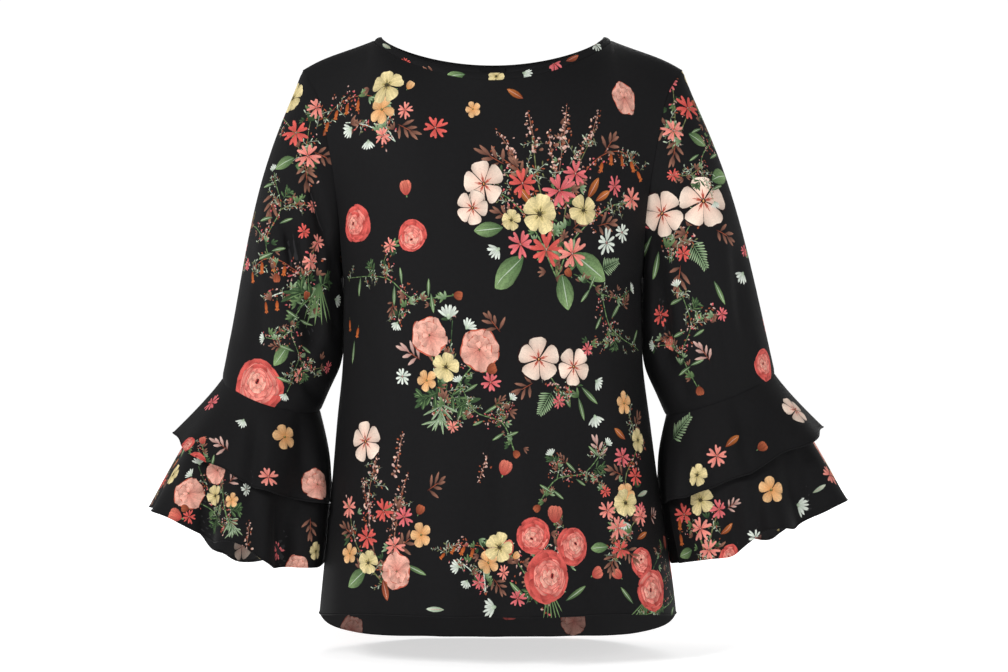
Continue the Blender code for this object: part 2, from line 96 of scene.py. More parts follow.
# ---- shoulders and armholes
SHOULDER_TIP = {"half_width": 0.1995, "drop": 0.0350}
SHOULDER_BOW = (0.0007, 0.0022)    # how far the seam bows out and up
SHOULDER_BIAS = 1.8                # above 1 moves the bow towards the tip
UNDERARM_DROP = 0.2550
ARMHOLE_REACH = {"front": 0.0510, "back": 0.0590}
ARMHOLE = columns("drop half_width", """
    0.035 0.1995, 0.05 0.189, 0.066 0.1805, 0.088 0.1752, 0.108 0.171, 0.15 0.1635, 0.192 0.1585,
    0.255 0.156""")

# ---- body
HEM_FRONT = 0.5950
HEM_SIDE = 0.6040
HEM_BACK = 0.6460
HEM_EASING = 0.6                   # share of the half width in which the front hem lifts
TAIL_ROUNDING = 2.6                # higher: the tail drops sooner behind the side seam
BODY = columns("drop half_width middle front back", """
    0.255 0.156 0 0.1145 0.1115, 0.3 0.1563 0.0001 0.1175 0.11, 0.345 0.1573 0.0003 0.1165 0.108,
    0.4 0.1635 0.001 0.115 0.1085, 0.46 0.17 0.0024 0.1175 0.113, 0.6 0.1865 0.0055 0.128 0.126,
    0.65 0.19 0.0055 0.13 0.13""")
BODY_SQUARENESS = 2.35             # 2 is an ellipse
BODY_DEEPEST = 0.999               # share of its depth past which its half width stays
# soft upright folds that grow down to the hem: across from -1, the left seam, to 1, then
# spread, depth and start
DRAPES = {
    "front": """
    -0.66 0.1 0.004 0.3, -0.38 0.12 -0.0035 0.34, -0.04 0.07 -0.005 0.38, 0.12 0.09 0.004 0.36,
    0.42 0.1 -0.0045 0.33, 0.68 0.1 0.0035 0.36""",
    "back": """
    -0.6 0.11 -0.0045 0.3, -0.3 0.1 0.005 0.24, 0.02 0.09 -0.0055 0.28, 0.3 0.1 0.005 0.26,
    0.62 0.11 -0.004 0.32""",
}
DRAPE_LEAN = (1.0, 1.6)            # the folds push more forward than sideways

# the yoke above the underarm: how it arrives at the neck and at the shoulder (backwards,
# up), how stiffly it leaves the underarm and arrives, and how the armhole pulls its edge
YOKE_AT_NECK = (0.40, 0.92)
YOKE_AT_SHOULDER = (0.985, 0.17)
YOKE_STIFFNESS = (0.8, 0.9)
ARMHOLE_PULL = {"from": 0.45, "power": 2.2}
CORNER_SOFTNESS = 0.22             # how widely the corner at the neck point is smoothed below it
CORNER_FADE = 8.0                  # higher: the corner fades sooner down the panel

# ---- sleeves
# end ring: outer and inner point (half width, drop), half depth, sag in front
SLEEVE_END = {
    "left": {"outer": (0.2840, 0.3590), "inner": (0.1812, 0.3925), "depth": 0.054, "sag": 0.009},
    "right": {"outer": (0.2965, 0.3540), "inner": (0.1822, 0.3975), "depth": 0.054, "sag": 0.004},
}
SLEEVE_FULLNESS = 0.16             # extra depth half way down the sleeve
SLEEVE_HUG = 0.0085                # how far the underarm side leans in against the body
SLEEVE_HUG_BIAS = 1.2              # above 1 moves the lean down the sleeve
SLEEVE_PRESS = 0.0045              # more of it just below the underarm
PRESS_SPAN = (0.12, 0.62, 0.25)    # shares of the way down: full by, gone by, fading over
SLEEVE_SLIM = {"from": 0.56, "depth": 0.0062}    # the underarm side turns away above the flounces
OUTER_ROUNDING = {"times": 14, "columns": 9, "rows": 8}    # on a sleeve's grid
# directions the cloth takes (sideways, forward, up)
LEAVE_SHOULDER = (0.33, 0.0, -0.94)
LEAVE_UNDERARM = (0.02, 0.0, -1.00)
LEAVE_FRONT = (0.55, 0.12, 0.30)   # added at the front and the back of the armhole
ARRIVE_OUTER = (0.20, 0.0, -0.98)
ARRIVE_INNER = (0.52, 0.0, -0.85)
# soft creases: start and end (degrees round the sleeve, share of the way down), width, depth
SLEEVE_CREASES = {
    "left": """
    108 0.1 122 0.62 0.007 0.006, 82 0.28 96 0.6 0.006 0.005, 128 0.45 112 0.95 0.008 0.005,
    60 0.62 72 0.97 0.009 0.003, 236 0.15 222 0.65 0.008 0.006, 268 0.3 252 0.8 0.008 0.004,
    305 0.45 296 0.95 0.01 0.003""",
    "right": """
    124 0.15 136 0.8 0.008 0.006, 102 0.45 100 0.97 0.007 0.005, 80 0.5 76 0.96 0.007 0.004,
    50 0.6 54 0.96 0.009 0.003, 232 0.12 226 0.7 0.008 0.006, 262 0.35 256 0.85 0.008 0.004,
    300 0.4 292 0.95 0.01 0.003""",
}
CREASE_GIRTH = 0.056               # sleeve radius and length that the creases are drawn on
CREASE_LENGTH = 0.24
CREASE_ENDS = 0.25                 # share of its depth that a crease keeps at its ends
CREASE_LEVEL = 0.3                 # how much of its push may be up or down

# ---- flounces
# hem ring of the long tier, as SLEEVE_END
FLOUNCE_HEM = {
    "left": {"outer": (0.3620, 0.4940), "inner": (0.1720, 0.5535), "depth": 0.090, "sag": 0.013},
    "right": {"outer": (0.3735, 0.4870), "inner": (0.1770, 0.5515), "depth": 0.090, "sag": 0.006},
}
UPPER_SHARE = {"outer": 0.42, "inner": 0.60}    # of the long tier's length
UPPER_FLARE = 0.007                # how far the short tier's hem kicks out at the outer side
UPPER_FLARE_FROM = 0.1             # cosine of the angle where that begins
FLOUNCE_BELLY = 0.010              # how far a flounce rounds out between seam and hem
OUTER_BELLY = 0.3                  # share of it that the outer side has
WAVE_GROWTH = {"lower": 1.25, "upper": 1.5}
# waves: degrees round the sleeve (0 outer side, 90 front, 180 against the body, 270
# back), spread in degrees, reach at the hem (in is negative)
WAVES = {
    "lower left": """
    -14 13 0.006, 12 12 -0.006, 38 13 0.009, 70 11 -0.017, 96 14 0.011, 126 10 -0.013, 148 10 0.007,
    212 13 0.008, 238 11 -0.013, 264 13 0.01, 290 11 -0.014, 318 13 0.009""",
    "lower right": """
    -16 13 0.007, 8 11 -0.007, 32 13 0.009, 60 11 -0.015, 84 12 0.01, 108 10 -0.017, 134 13 0.01,
    156 8 -0.005, 214 13 0.008, 240 11 -0.014, 268 13 0.01, 296 11 -0.012, 322 12 0.008""",
    "upper left": """
    4 20 0.01, 52 17 0.012, 104 17 0.011, 142 12 0.007, 226 16 0.01, 272 17 0.011, 318 16 0.01""",
    "upper right": """
    0 20 0.01, 46 18 0.013, 88 12 0.006, 128 18 0.011, 224 16 0.01, 266 17 0.012, 314 16 0.01""",
}
# the long tier's hem: degrees round, spread in degrees, how far it lifts
HEM_LIFTS = {
    "left": """
    94 14 0.016, 46 22 0.0118, 276 24 -0.026, 296 7 -0.009, 124 8 -0.003, 232 10 0.004""",
    "right": """
    88 14 0.014, 34 18 0.0095, 287 20 -0.019, 112 8 -0.003, 240 10 0.004""",
}
HEM_TO_BODY = 0.04           # share of its length over which the long tier nears the body
NEARS_EARLY = 0.012          # how much sooner that starts than the short tier's hem

# ---- how finely it is read
PANEL_FACETS = {"shoulder": 20, "neck": 64, "skirt": 66, "yoke": 54}
# round, then along
SLEEVE_FACETS = (180, 90)
FLOUNCE_FACETS = {"upper": (300, 30), "lower": (300, 50)}
BINDING_FACETS = (300, 8)
LABEL_FACETS = (16, 8)
FINE = 600                         # points on a curve before it is divided evenly
METRE, MILLIMETRE = 1000, 0.001    # each in the other
EDGE = 1e-6                        # slack in comparing places, and so that no stem's step is nothing

# ---- cloth
# lattice spacing in millimetres, thickness, and which edges are hems: 0 the first row, 1 the last
PANEL = {"step": 5.0, "thick": 0.0005, "hems": (0,)}
CUTS = {"front": PANEL, "back": PANEL, "sleeve": {"step": 5.0, "thick": 0.0005, "hems": ()},
        "flounce": {"step": 4.0, "thick": 0.0005, "hems": (1,)},
        "neck": {"step": 2.5, "thick": 0.0016, "hems": ()},
        "label": {"step": 2.0, "thick": 0.0006, "hems": ()}}
# how far an edge runs on under the piece that it is sewn to, how deep it lies there, and how
# deep the row next to it does
UNDER_SEAM = {"reach": 0.0016, "depth": 0.0009}
BINDING_ALLOWANCE = {"reach": 0.0026, "depth": 0.0016, "step": 0.0005}
HEM_ROLL = {"width": 0.0022, "height": 0.0007}
HEM_ROWS = np.array([0.5, 1.0, 1.5, 2.0, 2.6])    # millimetres from a hem, where its roll is read
NOT_HEM = 99.0               # millimetres: farther from a hem than anything that looks for one
# flat cut of each piece: width, length, area
SHEETS = {row[0]: row[1:] for row in rows_of("""
    front 0.52 0.63 0.25, back 0.53 0.67 0.27, neck_binding 0.66 0.012 0.0073,
    sleeve_left 0.54 0.34 0.1, sleeve_right 0.54 0.34 0.103,
    flounce_upper_left 0.42 0.21 0.04, flounce_upper_right 0.43 0.21 0.041,
    flounce_lower_left 0.6 0.27 0.082, flounce_lower_right 0.59 0.26 0.08""")}
CREPE = {"roughness": 0.74, "specular": 0.13, "sheen": 0.015, "sheen_roughness": 0.5,
         "deep": (0.0030, 0.0030, 0.0034, 1), "light": (0.0078, 0.0075, 0.0082, 1),
         "reverse": (0.038, 0.038, 0.040, 1), "shows_through": 0.5, "bump": (0.35, 0.0002)}
# noises are scale, detail and roughness, in flat millimetres
INK = {"rays": 11.0, "foot": 0.35, "veins": 0.55, "wobble": 14.0, "wobble_noise": (0.35, 3.0),
       "edge": 0.42, "edge_power": 2.5, "mottle": 0.60, "mottle_noise": (0.8, 4.0, 0.62)}
SATIN = {"roughness": 0.42, "sheen": 0.1, "rib": 0.0006, "speck": 900.0, "bump": (0.25, 0.0001),
         "deep": (0.006, 0.006, 0.007, 1), "light": (0.016, 0.016, 0.018, 1)}
# millimetres between threads and between stitches, where the stitches lie from the hem, how
# high each part of the grain stands, and how much of it shows as a lighter tone
WEAVE = {"thread": 0.42, "thread_height": 0.18, "crepe": (1.6, 3.0, 0.65), "crepe_height": 0.7,
         "crepe_tone": 0.6, "slub": (0.25, 2.0), "slub_tone": 0.5, "stitch": 2.2,
         "stitch_line": 2.9, "stitch_reach": 0.35, "stitch_from": -0.5, "stitch_depth": 0.9}

# ---- print, in flat millimetres
MERGE = 0.04                 # outline points closer than this are one
CLEAR_OF_EDGE = 0.4          # outlines nearer the edge than this are left off the reverse
REACHES = 0.2                # a shape that reaches less far into the piece is left out
SHOWS_THROUGH = 30.0         # square millimetres: smaller shapes are left off the reverse
REVERSE_STEP = 1.3           # its lattice is coarser than the outer face's
# a stem's step is at most this many times what is seen, and this more
STRAY = (2.2, 6.0)
STEM = {"least_step": 1.0, "parts": 4, "taper": 0.35}
# what grows along each stretch of a bouquet's stems
FILLERS = {"each": 8, "along": (0.1, 1.0), "spread": 5, "radius": (5, 9), "turn": (-120, 120)}
ASKEW = (0.82, 1.0)          # how narrow a motif may be
NOTCH = {"spread": 0.22, "from": 0.6}    # in a petal's rim: shares of its width and of its length
RUFFLED_RISE = 0.6           # how much a petal's rise is ruffled, for each share that its sides are
TONE_VARIES = 0.14           # from one shape to the next
THINNEST = 0.001             # half the width of the thinnest shape
# how a place is found from where it is seen: places tried each way, how squarely one has to
# face the eye, how far nearer ones go first, and how near is near enough
SEEN = {"places": 320, "facing": 0.05, "near_first": 20, "close": 2.0}
LEVEL = 0.05                 # cloth flatter than this has no way up of its own
SEEDS_APART = 100            # between the random draws of one piece and the next
MAP = {"outer": 0.62, "inner": 0.34, "whole": 0.96, "wide": 1.6, "edge": 0.01}    # bake map shares

# ---- stage
EYE = np.array((0.012, -2.5, -0.314))    # where the camera stands, level and looking along +Y
# the floor's glow is painted light, dimmer near the middle: a painted shade round the piece
STAGE = {"floor": -0.6475, "radius": 40.0, "colour": (0.86, 0.86, 0.86, 1),
         "glow_near": 0.62, "glow_far": 0.82, "glow_span": (0.75, 2.2),
         "sky_light": 0.24, "sky_seen": 1.05, "sides": 64, "roughness": 0.9}
LAMPS = (
    ("key", (-2.0, -2.3, 1.5), (1.0, 1.0), 62),
    ("fill", (2.1, -2.3, 0.5), (1.4, 1.8), 20),
    ("rim_left", (-2.4, 1.2, 0.8), (1.2, 1.6), 10),
    ("rim_right", (2.4, 1.4, 0.8), (1.2, 1.6), 10),
    ("back", (0.6, 2.8, 0.9), (1.6, 1.6), 30),
)
LIT = (0, 0, -0.3)           # the place that every lamp faces
LENS = (85.0, 36.0)          # focal length and sensor width in millimetres

# ---- soft folds
FOLD_TURN = 2.2              # how soon a fold fades where the cloth turns away
FOLD_ENDS = 0.35             # share of its length over which a fold fades at each end
FOLD_SKEW = 0.22             # how much steeper one flank of a fold is than the other
# start and end (across, drop), width and depth (in is negative), in millimetres as seen
FOLDS = {
    "front": """
    -108 150 -101 470 20 2.6, -72 330 -66 700 13 -2.4, 4 340 12 680 12 -4, 34 360 40 690 13 2.6,
    62 370 64 600 12 2.4, 96 300 108 700 14 -3, -140 330 -150 690 13 -2.6, -152 232 -84 318 9 -2.2,
    -150 262 -112 372 8 -1.8, 150 236 88 312 9 -2.2, 150 268 122 380 8 -1.6, -148 128 -118 176 8 -1.4,
    146 120 122 182 8 -1.4, -30 90 -44 240 16 1, 40 84 52 210 14 -1, 146 400 158 690 12 2.2,
    -40 480 -34 690 11 2""",
    "back": """
    -96 180 -90 520 18 2.6, -50 300 -58 720 14 -3.4, -8 200 -2 480 12 -1.8, 6 360 18 740 15 3,
    58 250 66 720 13 -3.6, 104 330 96 700 15 2.8, 140 300 152 700 12 -2.6, -138 330 -148 700 13 -2.4,
    -150 226 -92 300 9 -2.4, -148 262 -118 366 8 -1.8, 150 230 96 306 9 -2.2, 148 270 120 372 8 -1.8,
    -60 70 -20 96 9 -1.2, 64 72 22 100 9 -1.2""",
    "sleeve_left in front": """
    -192 138 -166 232 6 -6, -218 186 -190 272 7 -6, -198 246 -184 336 10 -5.5, -165 214 -160 340 6 -5.5,
    -206 336 -172 396 8 -5, -204 172 -176 268 7 2.2, -228 120 -246 320 12 2.2, -238 240 -250 372 9 -3.2,
    -270 300 -276 390 9 1.8""",
    "sleeve_left behind": """
    -182 110 -200 224 7 -4, -206 190 -212 300 8 -3.4, -160 230 -186 340 8 -3.8, -238 170 -252 350 11 2.2,
    -222 270 -238 390 9 -2.8, -262 330 -270 400 8 -2""",
    "sleeve_right in front": """
    160 150 170 300 7 -5.5, 172 250 180 372 8 -5, 186 330 204 392 9 -3.6, 227 246 232 366 7 2.6,
    214 240 220 360 8 -2.8, 196 110 206 200 9 -2.4, 246 190 262 330 9 -2.6, 272 300 284 376 9 2,
    184 150 196 250 8 2""",
    "sleeve_right behind": """
    178 120 196 236 7 -3.8, 200 200 222 320 8 -3.2, 164 250 186 344 8 -3.6, 232 180 254 350 11 2.2,
    214 290 226 400 9 -2.6, 262 300 278 390 9 -2""",
    "flounce_left in front": """
    -240 384 -250 510 10 -7, -197 372 -189 500 11 -6.5, -217 452 -212 640 9 -8, -232 440 -230 640 8 3.4,
    -268 396 -274 620 12 3.6, -288 396 -300 600 9 -5, -312 430 -330 560 9 2.4""",
    "flounce_left behind": """
    -200 400 -196 620 10 -5, -232 396 -236 630 10 -4.6, -262 400 -272 610 11 3, -290 410 -306 590 9 -4.4,
    -216 430 -216 640 8 2.6""",
    "flounce_right in front": """
    254 372 258 470 11 -6.5, 268 430 262 620 9 -8, 286 380 300 600 11 3.8, 196 400 194 620 10 -6,
    232 410 236 620 9 3.4, 314 400 340 580 9 -5, 214 420 216 620 8 2.2""",
    "flounce_right behind": """
    204 400 202 620 10 -5, 238 392 244 620 10 -4.8, 270 390 284 600 11 3, 298 400 318 580 9 -4.4,
    220 430 222 620 8 2.6""",
}


# ---- curve helpers
def smooth(x, xs, ys):
    """A smooth curve through a short table, level where the table turns back."""
    x = np.clip(np.asarray(x, float), xs[0], xs[-1])
    xs, ys = np.asarray(xs, float), np.asarray(ys, float)
    step = np.diff(ys) / np.diff(xs)
    slope = np.concatenate(([step[0]], (step[1:] + step[:-1]) / 2, [step[-1]]))
    turns_back = np.concatenate(([False], step[1:] * step[:-1] <= 0, [False]))
    slope[turns_back] = 0.0
    k = np.clip(np.searchsorted(xs, x, side="right") - 1, 0, len(xs) - 2)
    width = xs[k + 1] - xs[k]
    return hermite(ys[k], ys[k + 1], width * slope[k], width * slope[k + 1], (x - xs[k]) / width)


def hermite(start, end, leave, arrive, t):
    """Cubic from start to end with the given end tangents."""
    return ((2 * t**3 - 3 * t**2 + 1) * start + (t**3 - 2 * t**2 + t) * leave
            + (3 * t**2 - 2 * t**3) * end + (t**3 - t**2) * arrive)


def ease(t):
    """0 to 1 with level ends."""
    t = np.clip(t, 0.0, 1.0)
    return t * t * (3 - 2 * t)


def running_length(points):
    """Length along a line of points, from 0 at the first one."""
    steps = np.linalg.norm(np.diff(points, axis=0), axis=1)
    return np.concatenate(([0.0], np.cumsum(steps)))


def divide(points, shares):
    """Points at the given shares of a curve's length."""
    run = running_length(points)
    at = np.asarray(shares) * run[-1]
    return np.stack([np.interp(at, run, points[:, k]) for k in range(3)], axis=1)


def join(*parts):
    """Points from their coordinates, each an array or one number."""
    return np.stack(np.broadcast_arrays(*parts), axis=-1)


def unit(vector):
    vector = np.asarray(vector, float)
    return vector / np.linalg.norm(vector, axis=-1, keepdims=True)


def beside_line(x, y, start, end):
    """Share of the way along a line, distance from it, and which side of it, 1 or -1."""
    (xa, ya), (xb, yb) = start, end
    run = math.hypot(xb - xa, yb - ya)
    dx, dy = (xb - xa) / run, (yb - ya) / run
    along = np.clip(((x - xa) * dx + (y - ya) * dy) / run, 0, 1)
    off = np.hypot(x - xa - along * run * dx, y - ya - along * run * dy)
    return along, off, np.sign((x - xa) * dy - (y - ya) * dx)


def round_turns(count):
    """Angles that divide a full turn, without the last one."""
    return 2 * math.pi * np.arange(count) / count


# ---- the body that cloth follows
def body_size(drop, name):
    return smooth(drop, BODY["drop"], BODY[name])


def body_edge(drop, y):
    """Half width of the body at a drop and a depth y, measured from its middle."""
    reach = np.where(y < 0, body_size(drop, "front"), body_size(drop, "back"))
    share = np.clip(np.abs(y) / reach, 0.0, BODY_DEEPEST)
    return body_size(drop, "half_width") * (1 - share**BODY_SQUARENESS) ** (1 / BODY_SQUARENESS)


def half_section(drops, facing):
    """One panel's section, left seam to right, with a drop for each of its FINE points."""
    angle = np.linspace(0.0, math.pi, FINE)
    power = 2 / BODY_SQUARENESS
    across = np.sign(np.cos(angle)) * np.abs(np.cos(angle)) ** power
    reach = body_size(drops, "front" if facing < 0 else "back")
    x = body_size(drops, "middle") - body_size(drops, "half_width") * across
    y = facing * reach * np.abs(np.sin(angle)) ** power
    return join(x, y, -drops)


def armhole(turn, side):
    """Armhole seam at an angle: 0 at the shoulder tip, pi/2 front, pi underarm."""
    top, bottom = SHOULDER_TIP["drop"], UNDERARM_DROP
    drop = (top + bottom) / 2 - (bottom - top) / 2 * np.cos(turn)
    half = smooth(drop, ARMHOLE["drop"], ARMHOLE["half_width"])
    reach = np.where(np.sin(turn) > 0, ARMHOLE_REACH["front"], ARMHOLE_REACH["back"])
    return join(side * half, -reach * np.sin(turn), -drop)


def neck_edge(turn, out):
    """Neck opening at an angle: 0 at the left shoulder point, pi/2 front, pi at the right.

    out moves the curve outwards over the garment, towards the seam of the binding.
    """
    sine, cosine = np.sin(turn), np.cos(turn)
    centre = np.abs(sine)
    reach = np.where(sine > 0, NECK_FRONT["reach"], NECK_BACK["reach"])
    drop = np.where(sine > 0, NECK_FRONT["drop"], NECK_BACK["drop"])
    x = -(NECK_HALF_WIDTH + out * BINDING_LIE["side"] * np.abs(cosine)) * cosine
    y = -(reach + out * BINDING_LIE["centre"]) * sine
    fall = NECK_FALL[0] * centre + NECK_FALL[1] * centre**2
    z = -drop * fall - out * (BINDING_LIE["fall"] + BINDING_LIE["centre_fall"] * centre)
    return join(x, y, z)


def shoulder_seam(side):
    """From the binding seam to the shoulder tip."""
    inner = neck_edge(0.0, BINDING_WIDTH)
    start = np.array([-side * inner[0], 0.0, inner[2]])
    end = np.array([side * SHOULDER_TIP["half_width"], 0.0, -SHOULDER_TIP["drop"]])
    t = np.linspace(0.0, 1.0, FINE)[:, None]
    bow = np.array([side * SHOULDER_BOW[0], 0.0, SHOULDER_BOW[1]])
    return start + (end - start) * t + bow * np.sin(math.pi * t**SHOULDER_BIAS)


# ---- panels
def panel_places():
    """Places across a panel, -1 to 1, with one at each end of the neck seam."""
    side, neck = PANEL_FACETS["shoulder"], PANEL_FACETS["neck"]
    corner = neck / (neck + 2 * side)
    left = np.linspace(-1.0, -corner, side + 1)
    middle = np.linspace(-corner, corner, neck + 1)
    return np.concatenate((left, middle[1:], -left[::-1][1:])), corner


def top_edge(places, corner, facing):
    """Shoulder seam, neck seam, shoulder seam."""
    turn = np.linspace(0.0, math.pi, FINE)
    neck = neck_edge(-facing * turn, BINDING_WIDTH + NECK_SEAM_GAP)
    left = divide(shoulder_seam(-1)[::-1], np.clip((places + 1) / (1 - corner), 0, 1))
    right = divide(shoulder_seam(1), np.clip((places - corner) / (1 - corner), 0, 1))
    middle = divide(neck, np.clip((places + corner) / (2 * corner), 0, 1))
    place = places[:, None]
    return np.where(place < -corner - EDGE, left, np.where(place > corner + EDGE, right, middle))


def hem_drop(places, facing):
    """Drop of the hem across a panel: the front lifts a little, the back has a round tail."""
    inward = 1 - np.abs(places)
    if facing < 0:
        return HEM_SIDE - (HEM_SIDE - HEM_FRONT) * ease(inward / HEM_EASING)
    return HEM_SIDE + (HEM_BACK - HEM_SIDE) * (1 - (1 - inward) ** TAIL_ROUNDING)


def drape_push(places, drop, text):
    """Outward push of the soft upright folds."""
    push = 0.0
    for across, spread, depth, start in rows_of(text):
        grow = ease((drop - start) / (HEM_SIDE - start))
        push = push + depth * grow * np.exp(-((places - across) / spread) ** 2)
    return push


def skirt_rows(places, facing):
    """Rows of a panel from the hem up to the underarm."""
    along = np.linspace(-1.0, 1.0, FINE)
    hem = hem_drop(along, facing)
    rows = []
    for share in np.linspace(0.0, 1.0, PANEL_FACETS["skirt"] + 1):
        section = half_section(hem + (UNDERARM_DROP - hem) * share, facing)
        row = divide(section, (places + 1) / 2)
        push = drape_push(places, -row[:, 2], DRAPES["front" if facing < 0 else "back"])
        row[:, :2] += unit(row[:, :2] * DRAPE_LEAN) * push[:, None]
        rows.append(row)
    return rows


def yoke_rows(places, corner, facing, below):
    """Rows of a panel above the underarm, up to the shoulder and neck seams."""
    base, top = below[-1], top_edge(places, corner, facing)
    weight = np.exp(-((places[:, None] - places[None, :]) / CORNER_SOFTNESS) ** 2)
    soft_top = weight @ top / weight.sum(axis=1, keepdims=True)
    span = np.linalg.norm(top - base, axis=1, keepdims=True)
    leave = YOKE_STIFFNESS[0] * span * unit(below[-1] - below[-2])
    outer = ease(np.abs(places) / corner)[:, None]
    back, up = (np.array(YOKE_AT_NECK)[:, None, None] * (1 - outer)
                + np.array(YOKE_AT_SHOULDER)[:, None, None] * outer)
    arrive = YOKE_STIFFNESS[1] * span * unit(np.concatenate((0 * back, -facing * back, up), axis=1))
    upward = np.linspace(math.pi, 0.0, FINE)
    seams = {side: armhole(-facing * upward, side) for side in (-1, 1)}
    start = ARMHOLE_PULL["from"]
    pull = np.clip((np.abs(places) - start) / (1 - start), 0, 1) ** ARMHOLE_PULL["power"]
    rows = []
    for share in np.linspace(0.0, 1.0, PANEL_FACETS["yoke"] + 1)[1:]:
        row = hermite(base, soft_top, leave, arrive, share)
        row = row + (top - soft_top) * share**CORNER_FADE
        for side, end in ((-1, 0), (1, -1)):
            seam = divide(seams[side], [share])[0]
            near = np.where(np.sign(places) == side, pull, 0.0)[:, None]
            row = row + near * (seam - row[end])
        rows.append(row)
    return rows


def panel(facing):
    """Outer face, rows from the hem up, columns from the left seam to the right."""
    places, corner = panel_places()
    rows = skirt_rows(places, facing)
    rows += yoke_rows(places, corner, facing, rows)
    grid = np.array(rows)
    grid[:, :, 1] += facing * SEAM_GAP / 2
    grid[-1, np.abs(places) >= corner - EDGE, 1] += facing * RIDGE_GAP
    return grid


# ---- sleeves
def keep_clear(points, side, gap):
    """Move points off the body's side, so that cloth lying there follows it."""
    drop = -points[..., 2]
    middle = body_size(drop, "middle")
    out = side * (points[..., 0] - middle)
    short = body_edge(drop, points[..., 1]) + gap - out
    near = ease((drop - SIDE_STARTS[0]) / (SIDE_STARTS[1] - SIDE_STARTS[0]))
    moved = points.copy()
    moved[..., 0] += side * near * SIDE_BLEND * np.logaddexp(0.0, short / SIDE_BLEND)
    return moved


def slanted_ring(size, turn, side):
    """Ring from an outer and an inner point: 0 is the outer side, pi/2 the front."""
    outer, inner = (np.array([side * half, 0.0, -drop]) for half, drop in (size["outer"], size["inner"]))
    sine, cosine = np.sin(turn), np.cos(turn)
    ring = (outer + inner) / 2 + cosine[..., None] * (outer - inner) / 2
    return ring + join(0.0, -size["depth"] * sine, -size["sag"] * sine**2)


def even_turns(curve, count):
    """Angles that divide the front half and the back half of a closed curve evenly."""
    halves = []
    for start in (0.0, math.pi):
        turn = np.linspace(start, start + math.pi, FINE)
        run = running_length(curve(turn))
        halves.append(np.interp(2 * np.arange(count // 2) / count * run[-1], run, turn))
    return np.concatenate(halves)


def crease_push(turn, down, text):
    """Inward push of soft creases, tapered at both ends."""
    x, y = turn * CREASE_GIRTH, down * CREASE_LENGTH
    push = 0.0
    for angle_a, down_a, angle_b, down_b, width, depth in rows_of(text):
        start, end = ((math.radians(angle) * CREASE_GIRTH, share * CREASE_LENGTH)
                      for angle, share in ((angle_a, down_a), (angle_b, down_b)))
        along, off, _ = beside_line(x, y, start, end)
        taper = CREASE_ENDS + (1 - CREASE_ENDS) * np.sin(math.pi * along)
        push = push + depth * taper * np.exp(-(off / width) ** 2)
    return push


def sleeve(side, name):
    """Outer face, rows from the armhole down, columns round from the outer side."""
    count, steps = SLEEVE_FACETS
    mirror = np.array([side, -1.0, 1.0])
    head_turn = even_turns(lambda turn: armhole(turn, side), count)
    end_turn = even_turns(lambda turn: slanted_ring(SLEEVE_END[name], turn, side), count)
    outer = ((1 + np.cos(head_turn)) / 2)[:, None]
    front = np.sin(head_turn)[:, None]
    leave = (np.array(LEAVE_SHOULDER) * outer + np.array(LEAVE_UNDERARM) * (1 - outer)
             + np.array(LEAVE_FRONT) * np.concatenate((abs(front), front, abs(front)), axis=1))
    leave = unit(leave * mirror)
    arrive = unit((np.array(ARRIVE_OUTER) * outer + np.array(ARRIVE_INNER) * (1 - outer)) * mirror)
    head = armhole(head_turn, side) + ARMHOLE_GAP * leave
    end = slanted_ring(SLEEVE_END[name], end_turn, side)
    span = np.linalg.norm(end - head, axis=1, keepdims=True)
    rows = []
    for share in np.linspace(0.0, 1.0, steps + 1):
        row = hermite(head, end, span * leave, span * arrive, share)
        row[:, 1] *= 1 + SLEEVE_FULLNESS * math.sin(math.pi * share)
        hug = SLEEVE_HUG * math.sin(math.pi * share**SLEEVE_HUG_BIAS)
        full, gone, fading = PRESS_SPAN
        hug += SLEEVE_PRESS * ease(share / full) * ease((gone - share) / fading)
        row[:, 0] -= side * hug * (1 - outer[:, 0]) ** 2
        slim = np.clip((share - SLEEVE_SLIM["from"]) / (1 - SLEEVE_SLIM["from"]), 0, 1)
        row[:, 0] += side * SLEEVE_SLIM["depth"] * math.sin(math.pi * slim) * (1 - outer[:, 0]) ** 3
        inward = unit((row.mean(axis=0) - row) * [1, 1, CREASE_LEVEL])
        turn = head_turn + (end_turn - head_turn) * share
        push = crease_push(turn, share, SLEEVE_CREASES[name]) * math.sin(math.pi * share) ** 0.5
        row = row + inward * push[:, None]
        rows.append(keep_clear(row, side, BODY_GAP if share > 0 else SEAM_GAP))
    return np.array(rows)


# ---- flounces
def wave_reach(turn, text):
    """Reach of the hem's waves at an angle."""
    reach = 0.0
    for angle, spread, height in rows_of(text):
        off = (turn - math.radians(angle) + math.pi) % (2 * math.pi) - math.pi
        reach = reach + height * np.exp(-(off / math.radians(spread)) ** 2)
    return reach


